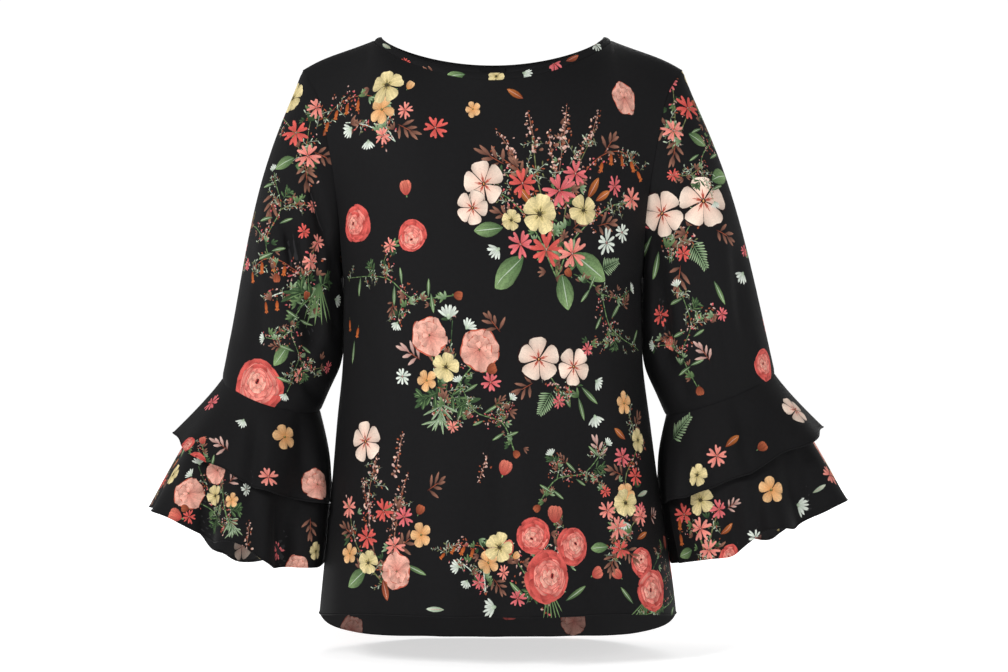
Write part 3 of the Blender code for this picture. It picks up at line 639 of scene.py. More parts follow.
def flounce(side, name, tier):
    """Outer face, rows from the sleeve seam down, columns round from the outer side.

    Both tiers share one shape. The inner tier is set in by its wall and a gap, and the
    outer one is shorter, with waves and a flare of its own that only reach outwards.
    """
    count, steps = FLOUNCE_FACETS[tier]
    turn = round_turns(count)
    seam = slanted_ring(SLEEVE_END[name], turn, side) - [0.0, 0.0, SEAM_GAP]
    hem = slanted_ring(FLOUNCE_HEM[name], turn, side)
    outward = unit((hem - hem.mean(axis=0)) * [1, 1, 0])
    outer = (1 + np.cos(turn)) / 2
    fullness = 1 - (1 - OUTER_BELLY) * outer**2
    ripple = wave_reach(turn, WAVES["lower " + name])
    if tier == "upper":
        length = UPPER_SHARE["inner"] + (UPPER_SHARE["outer"] - UPPER_SHARE["inner"]) * outer
        flare = UPPER_FLARE * ease((np.cos(turn) - UPPER_FLARE_FROM) / (1 - UPPER_FLARE_FROM))
        lift = np.maximum(wave_reach(turn, WAVES["upper " + name]), 0.0) + flare
        inset, gap = 0.0, BODY_GAP
    else:
        length, lift = np.ones(count), 0.0
        inset = WALL + TIER_GAP
        gap = BODY_GAP + inset + TUCKED_GAP
    rows = []
    for share in np.linspace(0.0, 1.0, steps + 1):
        down = share * length
        push = FLOUNCE_BELLY * fullness * np.sin(math.pi * down) - inset
        push = push + ripple * down ** WAVE_GROWTH["lower"] + lift * share ** WAVE_GROWTH["upper"]
        row = seam + (hem - seam) * down[:, None] + outward * push[:, None]
        if tier == "lower":
            row[:, 2] += wave_reach(turn, HEM_LIFTS[name]) * down**3
            # below the upper tier's hem it lies against the body, as the upper one does
            bare = ease((share + NEARS_EARLY - UPPER_SHARE["inner"]) / HEM_TO_BODY)
            gap = BODY_GAP + (1 - bare) * (inset + TUCKED_GAP)
        rows.append(keep_clear(row, side, gap))
    return np.array(rows)


# ---- binding and label
def binding():
    """Outer face, rows from the seam to the neck opening, columns round the neck."""
    count, steps = BINDING_FACETS
    rows = []
    for share in np.linspace(0.0, 1.0, steps + 1):
        row = neck_edge(round_turns(count), BINDING_WIDTH * (1 - share))
        row[:, 2] += BINDING_ROLL * math.sin(math.pi * share)
        rows.append(row)
    return np.array(rows)


def neck_label():
    """Face that lies against the inside of the binding at the back, rows from the top down."""
    columns, steps = LABEL_FACETS
    reach = LABEL["width"] / 2 / NECK_HALF_WIDTH
    turn = -math.pi / 2 + np.linspace(-reach, reach, columns + 1)
    level = BINDING_LIE["fall"] + BINDING_LIE["centre_fall"]
    inward = -unit([0.0, level, BINDING_LIE["centre"]]) * (BINDING_WALL + LABEL_GAP)
    return np.array([neck_edge(turn, LABEL["below_edge"] + LABEL["height"] * share) + inward
                     for share in np.linspace(0.0, 1.0, steps + 1)])


# ---- fine surfaces
def with_allowance(grid, how):
    """Adds a row before the first one, which runs on under the piece that it is sewn to."""
    across = np.roll(grid[0], -1, axis=0) - np.roll(grid[0], 1, axis=0)
    on = unit(grid[0] - grid[1])
    out = unit(np.cross(across, grid[1] - grid[0]))
    grid = np.concatenate(((grid[0] + on * how["reach"] - out * how["depth"])[None], grid))
    grid[1] -= out * how["step"]
    return grid


class Surface:
    """A piece's outer face as a fine grid, read at any flat place: millimetres across, along."""

    def __init__(self, grid, closed, outward):
        if closed:
            grid = np.concatenate((grid, grid[:, :1]), axis=1)
        self.closed, self.outward = closed, outward
        self.grid = grid
        self.flat = METRE * np.array([mean_length(grid), mean_length(grid.swapaxes(0, 1))])
        self.refresh()

    def refresh(self):
        """Works out the normals and the stretch again after the grid has moved."""
        grid = self.grid
        if self.closed:
            wrapped = np.concatenate((grid[:, -2:-1], grid, grid[:, 1:2]), axis=1)
            across = (wrapped[:, 2:] - wrapped[:, :-2]) / 2
        else:
            across = np.gradient(grid, axis=1)
        along = np.gradient(grid, axis=0)
        self.normal = unit(np.cross(across, along)) * self.outward
        rows, columns = grid.shape[:2]
        # metres moved for each millimetre across and along the flat piece
        self.across = across * (columns - 1) / self.flat[0]
        self.along = along * (rows - 1) / self.flat[1]

    def tuck(self, edge, how, part=slice(None)):
        """Runs an edge, or a part of it, on under the piece that it is sewn to."""
        ends = {"sides": (0, -1), "first": (0,), "last": (-1,)}[edge]
        swap = edge == "sides"
        grid, normal = (field.swapaxes(0, 1).copy() if swap else field.copy()
                        for field in (self.grid, self.normal))
        for end in ends:
            on = unit(grid[end] - grid[end + 1 if end == 0 else end - 1])
            grid[end, part] += (on * how["reach"] - normal[end] * how["depth"])[part]
        self.grid = grid.swapaxes(0, 1) if swap else grid
        self.refresh()

    def fold(self, text, side):
        """Soft troughs and ridges along lines as seen from the front, 1, or from behind, -1."""
        x, drop = METRE * self.grid[..., 0], -METRE * self.grid[..., 2]
        faces = ease(-side * self.normal[..., 1] * FOLD_TURN)
        push = np.zeros_like(x)
        for xa, da, xb, db, width, depth in rows_of(text):
            share, off, flank = beside_line(x, drop, (xa, da), (xb, db))
            taper = ease(share / FOLD_ENDS) * ease((1 - share) / FOLD_ENDS)
            # one flank is steeper than the other
            lean = 1 + FOLD_SKEW * flank
            push += MILLIMETRE * depth * taper * np.exp(-(off / width / lean) ** 2)
        self.grid = self.grid + self.normal * (faces * push)[..., None]
        self.refresh()

    def read(self, field, place):
        """Smooth cubic reading of a grid field at flat places in millimetres."""
        rows, columns = field.shape[:2]
        x = np.clip(place[:, 0] / self.flat[0], 0, 1) * (columns - 1)
        y = np.clip(place[:, 1] / self.flat[1], 0, 1) * (rows - 1)
        i = np.minimum(x.astype(int), columns - 2)
        j = np.minimum(y.astype(int), rows - 2)
        value = 0.0
        for dj, wy in zip((-1, 0, 1, 2), cubic(y - j)):
            for di, wx in zip((-1, 0, 1, 2), cubic(x - i)):
                column = i + di
                if self.closed:
                    column = column % (columns - 1)
                else:
                    column = np.clip(column, 0, columns - 1)
                value = value + field[np.clip(j + dj, 0, rows - 1), column] * (wx * wy)[:, None]
        return value


def turning(degrees):
    """Matrix that turns flat places to the left."""
    angle = math.radians(degrees)
    return np.array([[math.cos(angle), -math.sin(angle)], [math.sin(angle), math.cos(angle)]])


def cubic(t):
    """Shares of four neighbours in a reading at t, 0 to 1 between the middle two."""
    return (-0.5 * t + t**2 - 0.5 * t**3, 1 - 2.5 * t**2 + 1.5 * t**3,
            0.5 * t + 2 * t**2 - 1.5 * t**3, -0.5 * t**2 + 0.5 * t**3)


def mean_length(grid):
    """Mean length of a grid's rows. Every fourth one is enough for it."""
    return float(np.mean([running_length(row)[-1] for row in grid[::4]]))


# ---- the print on a piece
class Printer:
    """Places motifs on a surface and keeps their shapes in the flat piece's millimetres."""

    def __init__(self, surface, seed):
        self.surface = surface
        self.seed = seed
        self.shapes = []

    def look(self, azimuth):
        """Takes places as they are seen from an azimuth: 0 the front, 90 the right, 180 behind."""
        surface = self.surface
        across, along = (np.linspace(0, length, SEEN["places"]) for length in surface.flat)
        fine = np.stack(np.meshgrid(across, along), -1).reshape(-1, 2)
        point, normal = (surface.read(field, fine) for field in (surface.grid, surface.normal))
        for field in (point, normal):
            field[:, :2] = field[:, :2] @ turning(-azimuth).T
        seen = np.einsum("ij,ij->i", unit(EYE - point), normal) > SEEN["facing"]
        self.fine, point = fine[seen], point[seen]
        scale = (-EYE[1] / (point[:, 1] - EYE[1]))[:, None]
        self.seen = METRE * (EYE[[0, 2]] + (point[:, [0, 2]] - EYE[[0, 2]]) * scale)
        self.depth = SEEN["near_first"] * point[:, 1]

    def find(self, across, drop):
        """Flat place of a point given as it is seen, in millimetres; past an edge, as far past it."""
        target = np.array([across, -drop])
        nearest = np.argmin(np.hypot(*(self.seen - target).T) + self.depth)
        place = self.fine[nearest]
        rest = target - self.seen[nearest]
        if np.hypot(*rest) > SEEN["close"]:
            place = place + self.frame(place) @ rest
        return place

    def bouquet(self, name, across, drop, turn, size, mirror=1):
        """A bouquet, or one motif, whose middle is seen at a place."""
        if name not in BOUQUETS:
            self.stamp(name, self.find(across, drop), size, turn)
            return
        stems, motifs = map(rows_of, BOUQUETS[name])
        spin = size * turning(turn)

        def at(x, y):
            x, y = spin @ (x * mirror, y)
            return across + x, drop - y

        random = np.random.default_rng(self.seed + len(name))
        for tone, width, *track in stems:
            points = list(zip(track[::2], track[1::2]))
            self.stem(tone, width, [at(*point) for point in points])
            for k in range(FILLERS["each"] * (len(points) - 1)):
                start, end = points[k % (len(points) - 1):][:2]
                share = random.uniform(*FILLERS["along"])
                x, y = (start[i] + (end[i] - start[i]) * share + random.normal(0, FILLERS["spread"])
                        for i in (0, 1))
                self.stamp(("leaflet", "speck", "shoot")[k % 3], self.find(*at(x, y)),
                           size * random.uniform(*FILLERS["radius"]),
                           random.uniform(*FILLERS["turn"]))
        for kind, x, y, radius, own in motifs:
            self.stamp(kind, self.find(*at(x, y)), radius * size, own * mirror + turn)

    def frame(self, place):
        """Matrix from upright millimetres on the cloth to flat millimetres."""
        surface = self.surface
        spot = np.array([place])
        normal = unit(surface.read(surface.normal, spot)[0])
        up = np.array([0.0, 0.0, 1.0]) - normal * normal[2]
        up = unit(up if np.linalg.norm(up) > LEVEL else np.cross(normal, (1.0, 0.0, 0.0)))
        right = np.cross(up, normal)
        across, along = (surface.read(field, spot)[0] * METRE
                         for field in (surface.across, surface.along))
        return np.linalg.inv([[across @ right, along @ right], [across @ up, along @ up]])

    def stamp(self, kind, place, size, turn):
        """Draws a motif at a flat place."""
        self.seed += 1
        pen = Pen(self.seed)
        # a motif drawn askew is narrower across the cloth, whatever its own turn
        squash = pen.random.uniform(*ASKEW)
        MOTIFS[kind](pen, size)
        matrix = self.frame(place) @ np.diag((squash, 1.0)) @ turning(turn)
        self.keep(pen.shapes, matrix, place)

    def keep(self, shapes, matrix, place):
        """Adds shapes that reach the piece, and their repeats across a tube's seam."""
        repeats = (-1, 0, 1) if self.surface.closed else (0,)
        for shape in shapes:
            outline = shape["outline"] @ matrix.T + place
            for repeat in repeats:
                shift = np.array([repeat * self.surface.flat[0], 0.0])
                low, high = (outline + shift).min(0), (outline + shift).max(0)
                if (high < REACHES).any() or (low > self.surface.flat - REACHES).any():
                    continue
                self.shapes.append(dict(shape, outline=outline + shift,
                                        inverse=np.linalg.inv(matrix), place=place + shift))

    def stem(self, tone, width, points):
        """A thin line through points given as they are seen."""
        track = np.array([self.find(*point) for point in points])
        if self.surface.closed:
            track[:, 0] = np.unwrap(track[:, 0], period=self.surface.flat[0])
        steps = np.hypot(*np.diff(track, axis=0).T)
        seen = np.hypot(*np.diff(points, axis=0).T)
        # a line that leaves the piece ends there
        strays = np.flatnonzero(steps > STRAY[0] * seen + STRAY[1])
        end = strays[0] + 1 if len(strays) else len(track)
        track = track[:end][np.concatenate(([True], steps[:end - 1] > STEM["least_step"]))]
        if len(track) < 2:
            return
        run = running_length(np.column_stack((track, np.zeros(len(track)))))
        at = np.linspace(0, run[-1], STEM["parts"] * len(track))
        line = np.stack([smooth(at, run, track[:, k]) for k in range(2)], 1)
        along = np.gradient(line, axis=0)
        side = unit(np.stack((-along[:, 1], along[:, 0]), 1))
        half = (width / 2 * (1 - STEM["taper"] * np.linspace(0, 1, len(line))))[:, None]
        left, right = line + side * half, line - side * half
        for k in range(len(line) - 1):
            outline = np.array([left[k], left[k + 1], right[k + 1], right[k]])
            self.keep([{"outline": outline, "foot": line[k], "axis": line[k + 1] - line[k] + EDGE,
                        "half": width / 2, "tone": tone, "veins": 0.0, "fade": 1.0, "lift": 1.0}],
                      np.eye(2), np.zeros(2))


# ---- cloth meshes
def flat_lattice(size, step, hems):
    """Points of a flat piece: its edge in order, then a lattice inside, with rows at the hems."""
    width, height = size
    nx, ny = max(2, round(width / step)), max(2, round(height / step))
    xs, ys = np.linspace(0, width, nx + 1), np.linspace(0, height, ny + 1)
    edge = ([(x, 0.0) for x in xs[:-1]] + [(width, y) for y in ys[:-1]]
            + [(x, height) for x in xs[:0:-1]] + [(0.0, y) for y in ys[:0:-1]])
    lines = [y for hem in hems for y in (HEM_ROWS if hem == 0 else height - HEM_ROWS)]
    inside = [(x, y) for y in lines for x in xs[1:-1]]
    for row, y in enumerate(ys[1:-1]):
        if any(abs(y - line) < step / 2 for line in lines):
            continue
        shift = step / 4 if row % 2 else -step / 4
        inside += [(x + shift, y) for x in xs[1:-1]]
    return edge, inside


def top_shapes(places, shapes):
    """Number of the last shape over each place, counted from 1, or 0."""
    order = np.argsort(places[:, 0])
    ordered = places[order]
    top = np.zeros(len(places), int)
    for number, shape in enumerate(shapes, 1):
        outline = shape["outline"]
        low, high = outline.min(0), outline.max(0)
        start, stop = np.searchsorted(ordered[:, 0], (low[0], high[0]))
        near = start + np.flatnonzero((ordered[start:stop, 1] > low[1])
                                      & (ordered[start:stop, 1] < high[1]))
        x, y = ordered[near].T[..., None]
        ax, ay = outline.T
        bx, by = np.roll(outline, -1, axis=0).T
        with np.errstate(divide="ignore", invalid="ignore"):
            crossed = ((ay > y) != (by > y)) & (x < (bx - ax) * (y - ay) / (by - ay) + ax)
        top[order[near[crossed.sum(1) % 2 == 1]]] = number
    return top


def triangulate(points, edges):
    """Flat places and triangles between points, along the given edges."""
    made = delaunay_2d_cdt([Vector(p) for p in points], edges, [], 0, MERGE, True)
    triangles = [(face[0], a, b) for face in made[2] for a, b in zip(face[1:], face[2:])]
    return np.array([tuple(v) for v in made[0]]), np.array(triangles)


def settled(flat, size):
    """Places of a flat piece, with those that lie all but on its edge put on it."""
    flat = np.where(np.abs(flat) < 2 * MERGE, 0.0, flat)
    return np.where(np.abs(flat - size) < 2 * MERGE, size, flat)


def shown_outlines(surface, shapes):
    """Points and edges along which one shape that shows meets another or the ground."""
    width, height = surface.flat
    points = [(0.0, 0.0), (width, 0.0), (width, height), (0.0, height)]
    edges = [(0, 1), (1, 2), (2, 3), (3, 0)]
    for shape in shapes:
        ring = range(len(points), len(points) + len(shape["outline"]))
        edges += list(zip(ring, [*ring[1:], ring[0]]))
        points += [tuple(p) for p in shape["outline"]]
    flat, triangles = triangulate(points, edges)
    flat = settled(flat, surface.flat)
    middle = flat[triangles].mean(1)
    triangles = triangles[((middle > 0) & (middle < surface.flat)).all(1)]
    top = top_shapes(flat[triangles].mean(1), shapes)
    edges = np.sort(np.concatenate((triangles[:, :2], triangles[:, 1:], triangles[:, ::2])), 1)
    owner = np.tile(top, 3)
    order = np.lexsort((edges[:, 1], edges[:, 0]))
    edges, owner = edges[order], owner[order]
    between = (edges[1:] == edges[:-1]).all(1) & (owner[1:] != owner[:-1])
    return flat, edges[1:][between]


def cut(surface, shapes, step, hems, border=None):
    """Triangles of the flat piece along the outlines that show, and each one's top shape."""
    flat, edges = shown_outlines(surface, shapes)
    rim, inside = flat_lattice(surface.flat, step, hems)
    if border is not None:
        off = np.minimum(flat, surface.flat - flat).min(1)
        edges = edges[(off[edges] > CLEAR_OF_EDGE).all(1)]
        rim = [tuple(p) for p in border]
    used, again = np.unique(edges, return_inverse=True)
    points = [tuple(p) for p in np.clip(flat[used], 0, surface.flat)] + rim + inside
    flat, triangles = triangulate(points, again.reshape(-1, 2).tolist())
    flat = settled(flat, surface.flat)
    # a triangle with all its corners on one side of the piece has no cloth in it
    corners = flat[triangles]
    bare = ((corners == 0).all(1) | (corners == surface.flat).all(1)).any(1)
    used, again = np.unique(triangles[~bare], return_inverse=True)
    flat, triangles = flat[used], again.reshape(-1, 3)
    return flat, triangles, top_shapes(flat[triangles].mean(1), shapes)


def tones_of(shapes, flat, triangles, top):
    """Print colour, cover and petal place (along, across, veins) of every corner."""
    count = len(triangles)
    colour = np.zeros((count, 3, 4))
    petal = np.zeros((count, 3, 3))
    order = np.argsort(top)
    starts = np.searchsorted(top[order], np.arange(1, len(shapes) + 2))
    for k, shape in enumerate(shapes):
        own = order[starts[k]:starts[k + 1]]
        if not len(own):
            continue
        here = (flat[triangles[own]] - shape["place"]) @ shape["inverse"].T - shape["foot"]
        axis = shape["axis"]
        length = float(axis @ axis)
        along = here @ axis / length
        across = here @ np.array([-axis[1], axis[0]]) / math.sqrt(length) / shape["half"]
        foot, rim = (linear(code) for code in TONES[shape["tone"]])
        mix = np.clip(along, 0, 1)[..., None] ** shape["fade"]
        colour[own, :, :3] = (foot + (rim - foot) * mix) * shape["lift"]
        colour[own, :, 3] = 1.0
        petal[own] = np.stack((along, across, np.full_like(along, shape["veins"])), -1)
    return colour, petal


def hem_form(surface, flat, hems):
    """A narrow rolled hem: how far both faces swell, how their normals lean, and the hem's place."""
    swell, lean = np.zeros(len(flat)), np.zeros((len(flat), 3))
    distance = np.full(len(flat), NOT_HEM)
    for hem in hems:
        far = flat[:, 1] if hem == 0 else surface.flat[1] - flat[:, 1]
        distance = np.minimum(distance, far)
        span = HEM_ROLL["width"] * METRE
        share = np.clip(far / span, 0, 1)
        swell += np.sin(math.pi * share) ** 2 * HEM_ROLL["height"]
        slope = np.sin(2 * math.pi * share) * math.pi / span * HEM_ROLL["height"] * METRE
        away = unit(surface.read(surface.along, flat)) * (1 if hem == 0 else -1)
        lean += slope[:, None] * away
    return swell, lean, distance


def face(surface, shapes, step, hems, thick, side, border=None):
    """One face of the cloth, side 1 outside or -1 inside."""
    flat, triangles, top = cut(surface, shapes, step, hems, border)
    colour, petal = tones_of(shapes, flat, triangles, top)
    swell, lean, distance = hem_form(surface, flat, hems)
    normal = unit(surface.read(surface.normal, flat))
    depth = swell if side > 0 else -thick - swell
    corner = flat[triangles]
    edge_a, edge_b = corner[:, 1] - corner[:, 0], corner[:, 2] - corner[:, 0]
    area = edge_a[:, 0] * edge_b[:, 1] - edge_a[:, 1] * edge_b[:, 0]
    flip = (area > 0) != (surface.outward * side > 0)
    triangles[flip] = triangles[flip][:, ::-1]
    colour[flip], petal[flip] = colour[flip][:, ::-1], petal[flip][:, ::-1]
    return {"flat": flat, "triangles": triangles, "colour": colour, "petal": petal,
            "distance": distance, "normal": unit(normal * side - lean),
            "point": surface.read(surface.grid, flat) + normal * depth[:, None]}


def open_edges(triangles):
    """Edges of one triangle only, in its own direction."""
    directed = np.concatenate((triangles[:, :2], triangles[:, 1:], triangles[:, ::-2]))
    _, first, times = np.unique(np.sort(directed, 1), axis=0, return_index=True,
                                return_counts=True)
    return directed[first[times == 1]]


def shell(name, surface, shapes, material, step, hems, thick):
    """A printed cloth piece: outer and inner face, joined round its edge."""
    outer = face(surface, shapes, step, hems, thick, 1)
    rim = open_edges(outer["triangles"])
    round_edge = np.unique(rim)
    large = [shape for shape in shapes if abs(area_of(shape["outline"])) > SHOWS_THROUGH]
    inner = face(surface, large, REVERSE_STEP * step, hems, thick, -1, outer["flat"][round_edge])
    # each point of the outer rim has its twin on the inner face
    tree = KDTree(len(inner["flat"]))
    for k, (x, y) in enumerate(inner["flat"]):
        tree.insert((x, y, 0.0), k)
    tree.balance()
    total = len(outer["flat"])
    twin = {int(k): tree.find((*outer["flat"][k], 0.0))[1] + total for k in round_edge}
    rims = []
    for a, b in rim.tolist():
        rims += [(b, a, twin[a]), (b, twin[a], twin[b])]
    faces = np.concatenate((outer["triangles"], inner["triangles"] + total, np.array(rims)))
    both = {key: np.concatenate((outer[key], inner[key])) for key in outer}
    side = np.repeat((0.0, 1.0), (total, len(inner["flat"])))
    return build(name, surface, both, faces, side, material)


def area_of(outline):
    """Signed area, above 0 where the outline runs to the left round itself."""
    x, y = outline.T
    return (np.dot(x, np.roll(y, -1)) - np.dot(y, np.roll(x, -1))) / 2


def build(name, surface, both, faces, side, material):
    """Mesh object with its print, its bake map and smooth normals."""
    mesh = bpy.data.meshes.new(name)
    mesh.vertices.add(len(both["point"]))
    mesh.vertices.foreach_set("co", both["point"].ravel())
    mesh.loops.add(faces.size)
    mesh.loops.foreach_set("vertex_index", faces.ravel().astype(np.int32))
    mesh.polygons.add(len(faces))
    mesh.polygons.foreach_set("loop_start", np.arange(0, faces.size, 3, dtype=np.int32))
    mesh.update(calc_edges=True)
    mesh.shade_smooth()
    blank = len(faces) - len(both["colour"])
    colour = np.concatenate((both["colour"], np.zeros((blank, 3, 4))))
    petal = np.concatenate((both["petal"], np.zeros((blank, 3, 3))))
    flat = both["flat"]
    for label, kind, domain, field, values in (
            ("Print", "FLOAT_COLOR", "CORNER", "color", colour),
            ("Petal", "FLOAT_VECTOR", "CORNER", "vector", petal),
            ("Place", "FLOAT_VECTOR", "POINT", "vector", np.column_stack((flat, side))),
            ("Hem", "FLOAT", "POINT", "value", both["distance"])):
        mesh.attributes.new(label, kind, domain).data.foreach_set(field, values.ravel())
    layer = mesh.uv_layers.new(name="OFBake")
    layer.data.foreach_set("uv", bake_places(surface.flat, flat, side)[faces.ravel()].ravel())
    mesh.normals_split_custom_set_from_vertices(both["normal"].tolist())
    mesh.materials.append(material)
    return add_object(name, mesh)


def bake_places(size, flat, side):
    """The outer face takes most of the map. The inner face lies beside it, or above a wide one."""
    width, height = size
    order = 1 if width < MAP["wide"] * height else -1
    room, spare = ((share, MAP["whole"])[::order] for share in (MAP["outer"], MAP["inner"]))
    large = min(room[0] / width, room[1] / height)
    small = min(spare[0] / width, spare[1] / height)
    edge = MAP["edge"]
    start = (2 * edge + width * large, edge) if order == 1 else (edge, 2 * edge + height * large)
    return np.where(side[:, None] == 0, edge + flat * large, np.array(start) + flat * small)


# ---- tones of the print
# foot and rim of each shape
TONES = {name: (foot, rim) for name, foot, rim in (row.split() for row in """
    cream A89458 EFDDA6, phlox DE9079 F0DCCB, campion B2343F E4777A, coral A9302F E2655C,
    peach CF8544 EDC08C, blush C06D5F EFB7A5, throat 96352B C9644F, bell 8F3C17 CF7039,
    white 9FB09C E6ECE2, green 36502F 7F9C68, leaf 42603A 8BA872, dark 1B2D1C 4A6641,
    fern 4C6B45 A6BD95, dusty 4F2E27 A3735F, heather 9C6F68 E0BCB0, rust 6B2C1C B25F40,
    orange 8A3C1A C9783D, straw 7C6E38 C9B87C, seed 33251A 5C4828, pale 8DA286 CBD8C2,
    grey 6F7466 B3B7A8, olive 474C2E 82875A, bud B03C38 E07C68, fold B23A3A D05C55,
    layer D9685F F09A8C, heart E48F80 F3BBA8, gap 140C0C 2A1514""".split(","))}


def linear(code):
    """Linear light of a hexadecimal sRGB colour."""
    value = np.array([int(code[k:k + 2], 16) for k in (0, 2, 4)]) / 255
    return np.where(value > 0.04045, ((value + 0.055) / 1.055) ** 2.4, value / 12.92)


class Pen:
    """Collects flat shapes in millimetres, +y up. Later shapes lie on earlier ones."""

    def __init__(self, seed):
        self.random = np.random.default_rng(seed)
        self.shapes = []

    def sway(self, amount):
        """A random lean to either side."""
        return amount * self.random.uniform(-1, 1)

    def vary(self, amount):
        """A random size near 1."""
        return 1 + self.sway(amount)

    def petal(self, tone, turn, length, width, at=(0.0, 0.0), full=1.6, blunt=0.6, notch=0.0,
              ruffle=0.0, veins=0.3, fade=1.0, points=6):
        """A petal or leaf from its foot; turn is in degrees from straight up, to the left."""
        t = np.linspace(0.0, math.pi, points + 1)
        along = (1 - np.cos(t)) / 2
        half = np.clip(np.sin(math.pi * along**full), 0, 1) ** blunt / 2
        wave = 1 + ruffle * self.random.uniform(-1, 1, (2, points + 1))
        xs = np.concatenate((-half * wave[0], (half * wave[1])[-2:0:-1])) * width
        rise = along - notch * np.exp(-((half / NOTCH["spread"]) ** 2)) * (along > NOTCH["from"])
        ys = np.concatenate((rise, rise[-2:0:-1])) * length
        ys[1:-1] *= 1 + ruffle * self.random.uniform(-RUFFLED_RISE, RUFFLED_RISE, len(ys) - 2)
        self.add(tone, np.stack((xs, ys), 1), turn, at, length, width, veins, fade)

    def add(self, tone, outline, turn, at, length, width, veins, fade):
        spin, shift = turning(turn), np.asarray(at, float)
        self.shapes.append({
            "outline": outline @ spin.T + shift, "foot": shift, "axis": spin @ (0.0, length),
            "half": max(width / 2, THINNEST), "tone": tone, "veins": veins, "fade": fade,
            "lift": self.vary(TONE_VARIES)})

    def disc(self, tone, radius, at=(0.0, 0.0), squash=1.0, points=9):
        t = np.linspace(0.0, 2 * math.pi, points + 1)[:-1]
        outline = np.stack((np.cos(t) * radius, np.sin(t) * radius * squash), 1)
        self.add(tone, outline, 0.0, at, radius, radius, 0.2, 1.0)


# ---- motifs, by radius
def stalk(pen, tone, length, width, r):
    pen.petal(tone, 0, length * r, width * r, at=(0, -r), full=1.0, points=3, veins=0)


def cosmos(pen, r):
    lean = pen.random.uniform(-12, 12)
    for k in range(5):
        turn = 72 * k + lean + pen.sway(8)
        pen.petal("cream", turn, r * pen.vary(0.08), 0.86 * r * pen.vary(0.1), full=1.9,
                  blunt=0.58, notch=0.08, ruffle=0.05, fade=0.45, veins=0.35, points=8)
        pen.petal("straw", turn, 0.4 * r, 0.14 * r, full=1.3, points=3, veins=0)
    pen.disc("olive", 0.13 * r, points=7)
    for k in range(9):
        pen.petal("seed", 40 * k, 0.24 * r * pen.vary(0.3), 0.05 * r, full=1.5, points=3)


def phlox(pen, r):
    for k in range(5):
        turn = 72 * k + pen.sway(5)
        pen.petal("gap", turn, 1.02 * r, 0.97 * r, full=2.3, blunt=0.5, points=8, veins=0)
        pen.petal("phlox", turn, r * pen.vary(0.04), 0.88 * r * pen.vary(0.05), full=2.3,
                  blunt=0.5, notch=0.04, ruffle=0.03, veins=0.12, fade=0.34, points=9)
        for side in (-9, 0, 9):
            pen.petal("throat", turn + side, r * (0.5 if side == 0 else 0.34), 0.045 * r,
                      full=0.9, points=3, veins=0)
    pen.disc("gap", 0.10 * r, points=7)
    pen.disc("peach", 0.06 * r, points=6)


def campion(pen, r):
    tone = ("campion", "coral", "layer")[int(pen.random.integers(3))]
    for k in range(5):
        turn = 72 * k + pen.sway(8)
        pen.petal(tone, turn, 0.72 * r, 0.34 * r, full=1.8, points=4)
        for side in (-16, 13):
            pen.petal(tone, turn + side, r * pen.vary(0.14), 0.27 * r * pen.vary(0.1), full=2.2,
                      blunt=0.55, points=5, fade=0.55, veins=0.3)
        pen.petal("throat", turn, 0.36 * r, 0.05 * r, full=0.9, points=3, veins=0)
    pen.disc("heather", 0.08 * r, points=6)


def aster(pen, r):
    for k in range(10):
        pen.petal("white", 36 * k + pen.sway(8), r * pen.vary(0.18), 0.30 * r,
                  full=2.0, blunt=0.6, points=4, fade=0.4)
    pen.disc("heather", 0.14 * r, points=7)


def peach(pen, r):
    for k in range(5):
        turn = 72 * k + pen.sway(7)
        pen.petal("peach", turn, r * pen.vary(0.06), 0.78 * r * pen.vary(0.08), full=1.9,
                  blunt=0.55, ruffle=0.05, fade=0.7, points=7)
    pen.disc("straw", 0.11 * r)


def ranunculus(pen, r):
    eye = turning(pen.random.uniform(-50, 50)) @ (0, 0.24 * r)
    rounds = 7 if r > 14 else 5
    for ring in range(rounds):
        share = ring / rounds
        reach = r * (1 - 0.86 * share)
        start = pen.random.uniform(0, 360)
        count = 7 - ring // 2
        for k in range(count):
            turn = start + 360 / count * k + pen.random.uniform(-14, 14)
            tone = ("coral", "layer", "heart")[min(2, int(2.3 * share + pen.random.uniform(0, 0.9)))]
            long = reach * pen.vary(0.07)
            pen.petal("fold", turn, 1.03 * long, 1.14 * reach, at=eye * share, full=2.4,
                      blunt=0.45, veins=0, points=8)
            pen.petal(tone, turn, long, 1.08 * reach, at=eye * share, full=2.4, blunt=0.45,
                      notch=0.04, ruffle=0.04, veins=0.25, fade=3.0, points=10)
    pen.disc("fold", 0.11 * r, at=eye, squash=0.8)
    pen.disc("gap", 0.06 * r, at=eye, squash=0.7, points=6)


def poppy(pen, r):
    lean = pen.random.uniform(-30, 30)
    rounds = ((1.0, 1.22, "blush", (176, 104, -108, 34, -30)), (0.70, 1.0, "blush", (72, -66, 4)),
              (0.40, 0.8, "heart", (40, -50)))
    for size, breadth, tone, turns in rounds:
        for turn in turns:
            long, wide = size * r * pen.vary(0.08), breadth * size * r * pen.vary(0.10)
            shape = {"at": turning(lean) @ (0, -0.10 * r), "full": 2.3, "blunt": 0.46, "points": 13}
            pen.petal("throat", turn + lean, 1.02 * long, 1.02 * wide, notch=0.06, veins=0, **shape)
            pen.petal(tone, turn + lean, long, wide, notch=0.10, ruffle=0.11, veins=0.3, fade=0.8,
                      **shape)
    for k in range(5):
        pen.petal("seed", 72 * k + lean, 0.12 * r, 0.03 * r, at=turning(lean) @ (0, -0.10 * r), points=3)
    pen.disc("olive", 0.05 * r, at=turning(lean) @ (0, -0.10 * r), points=6)


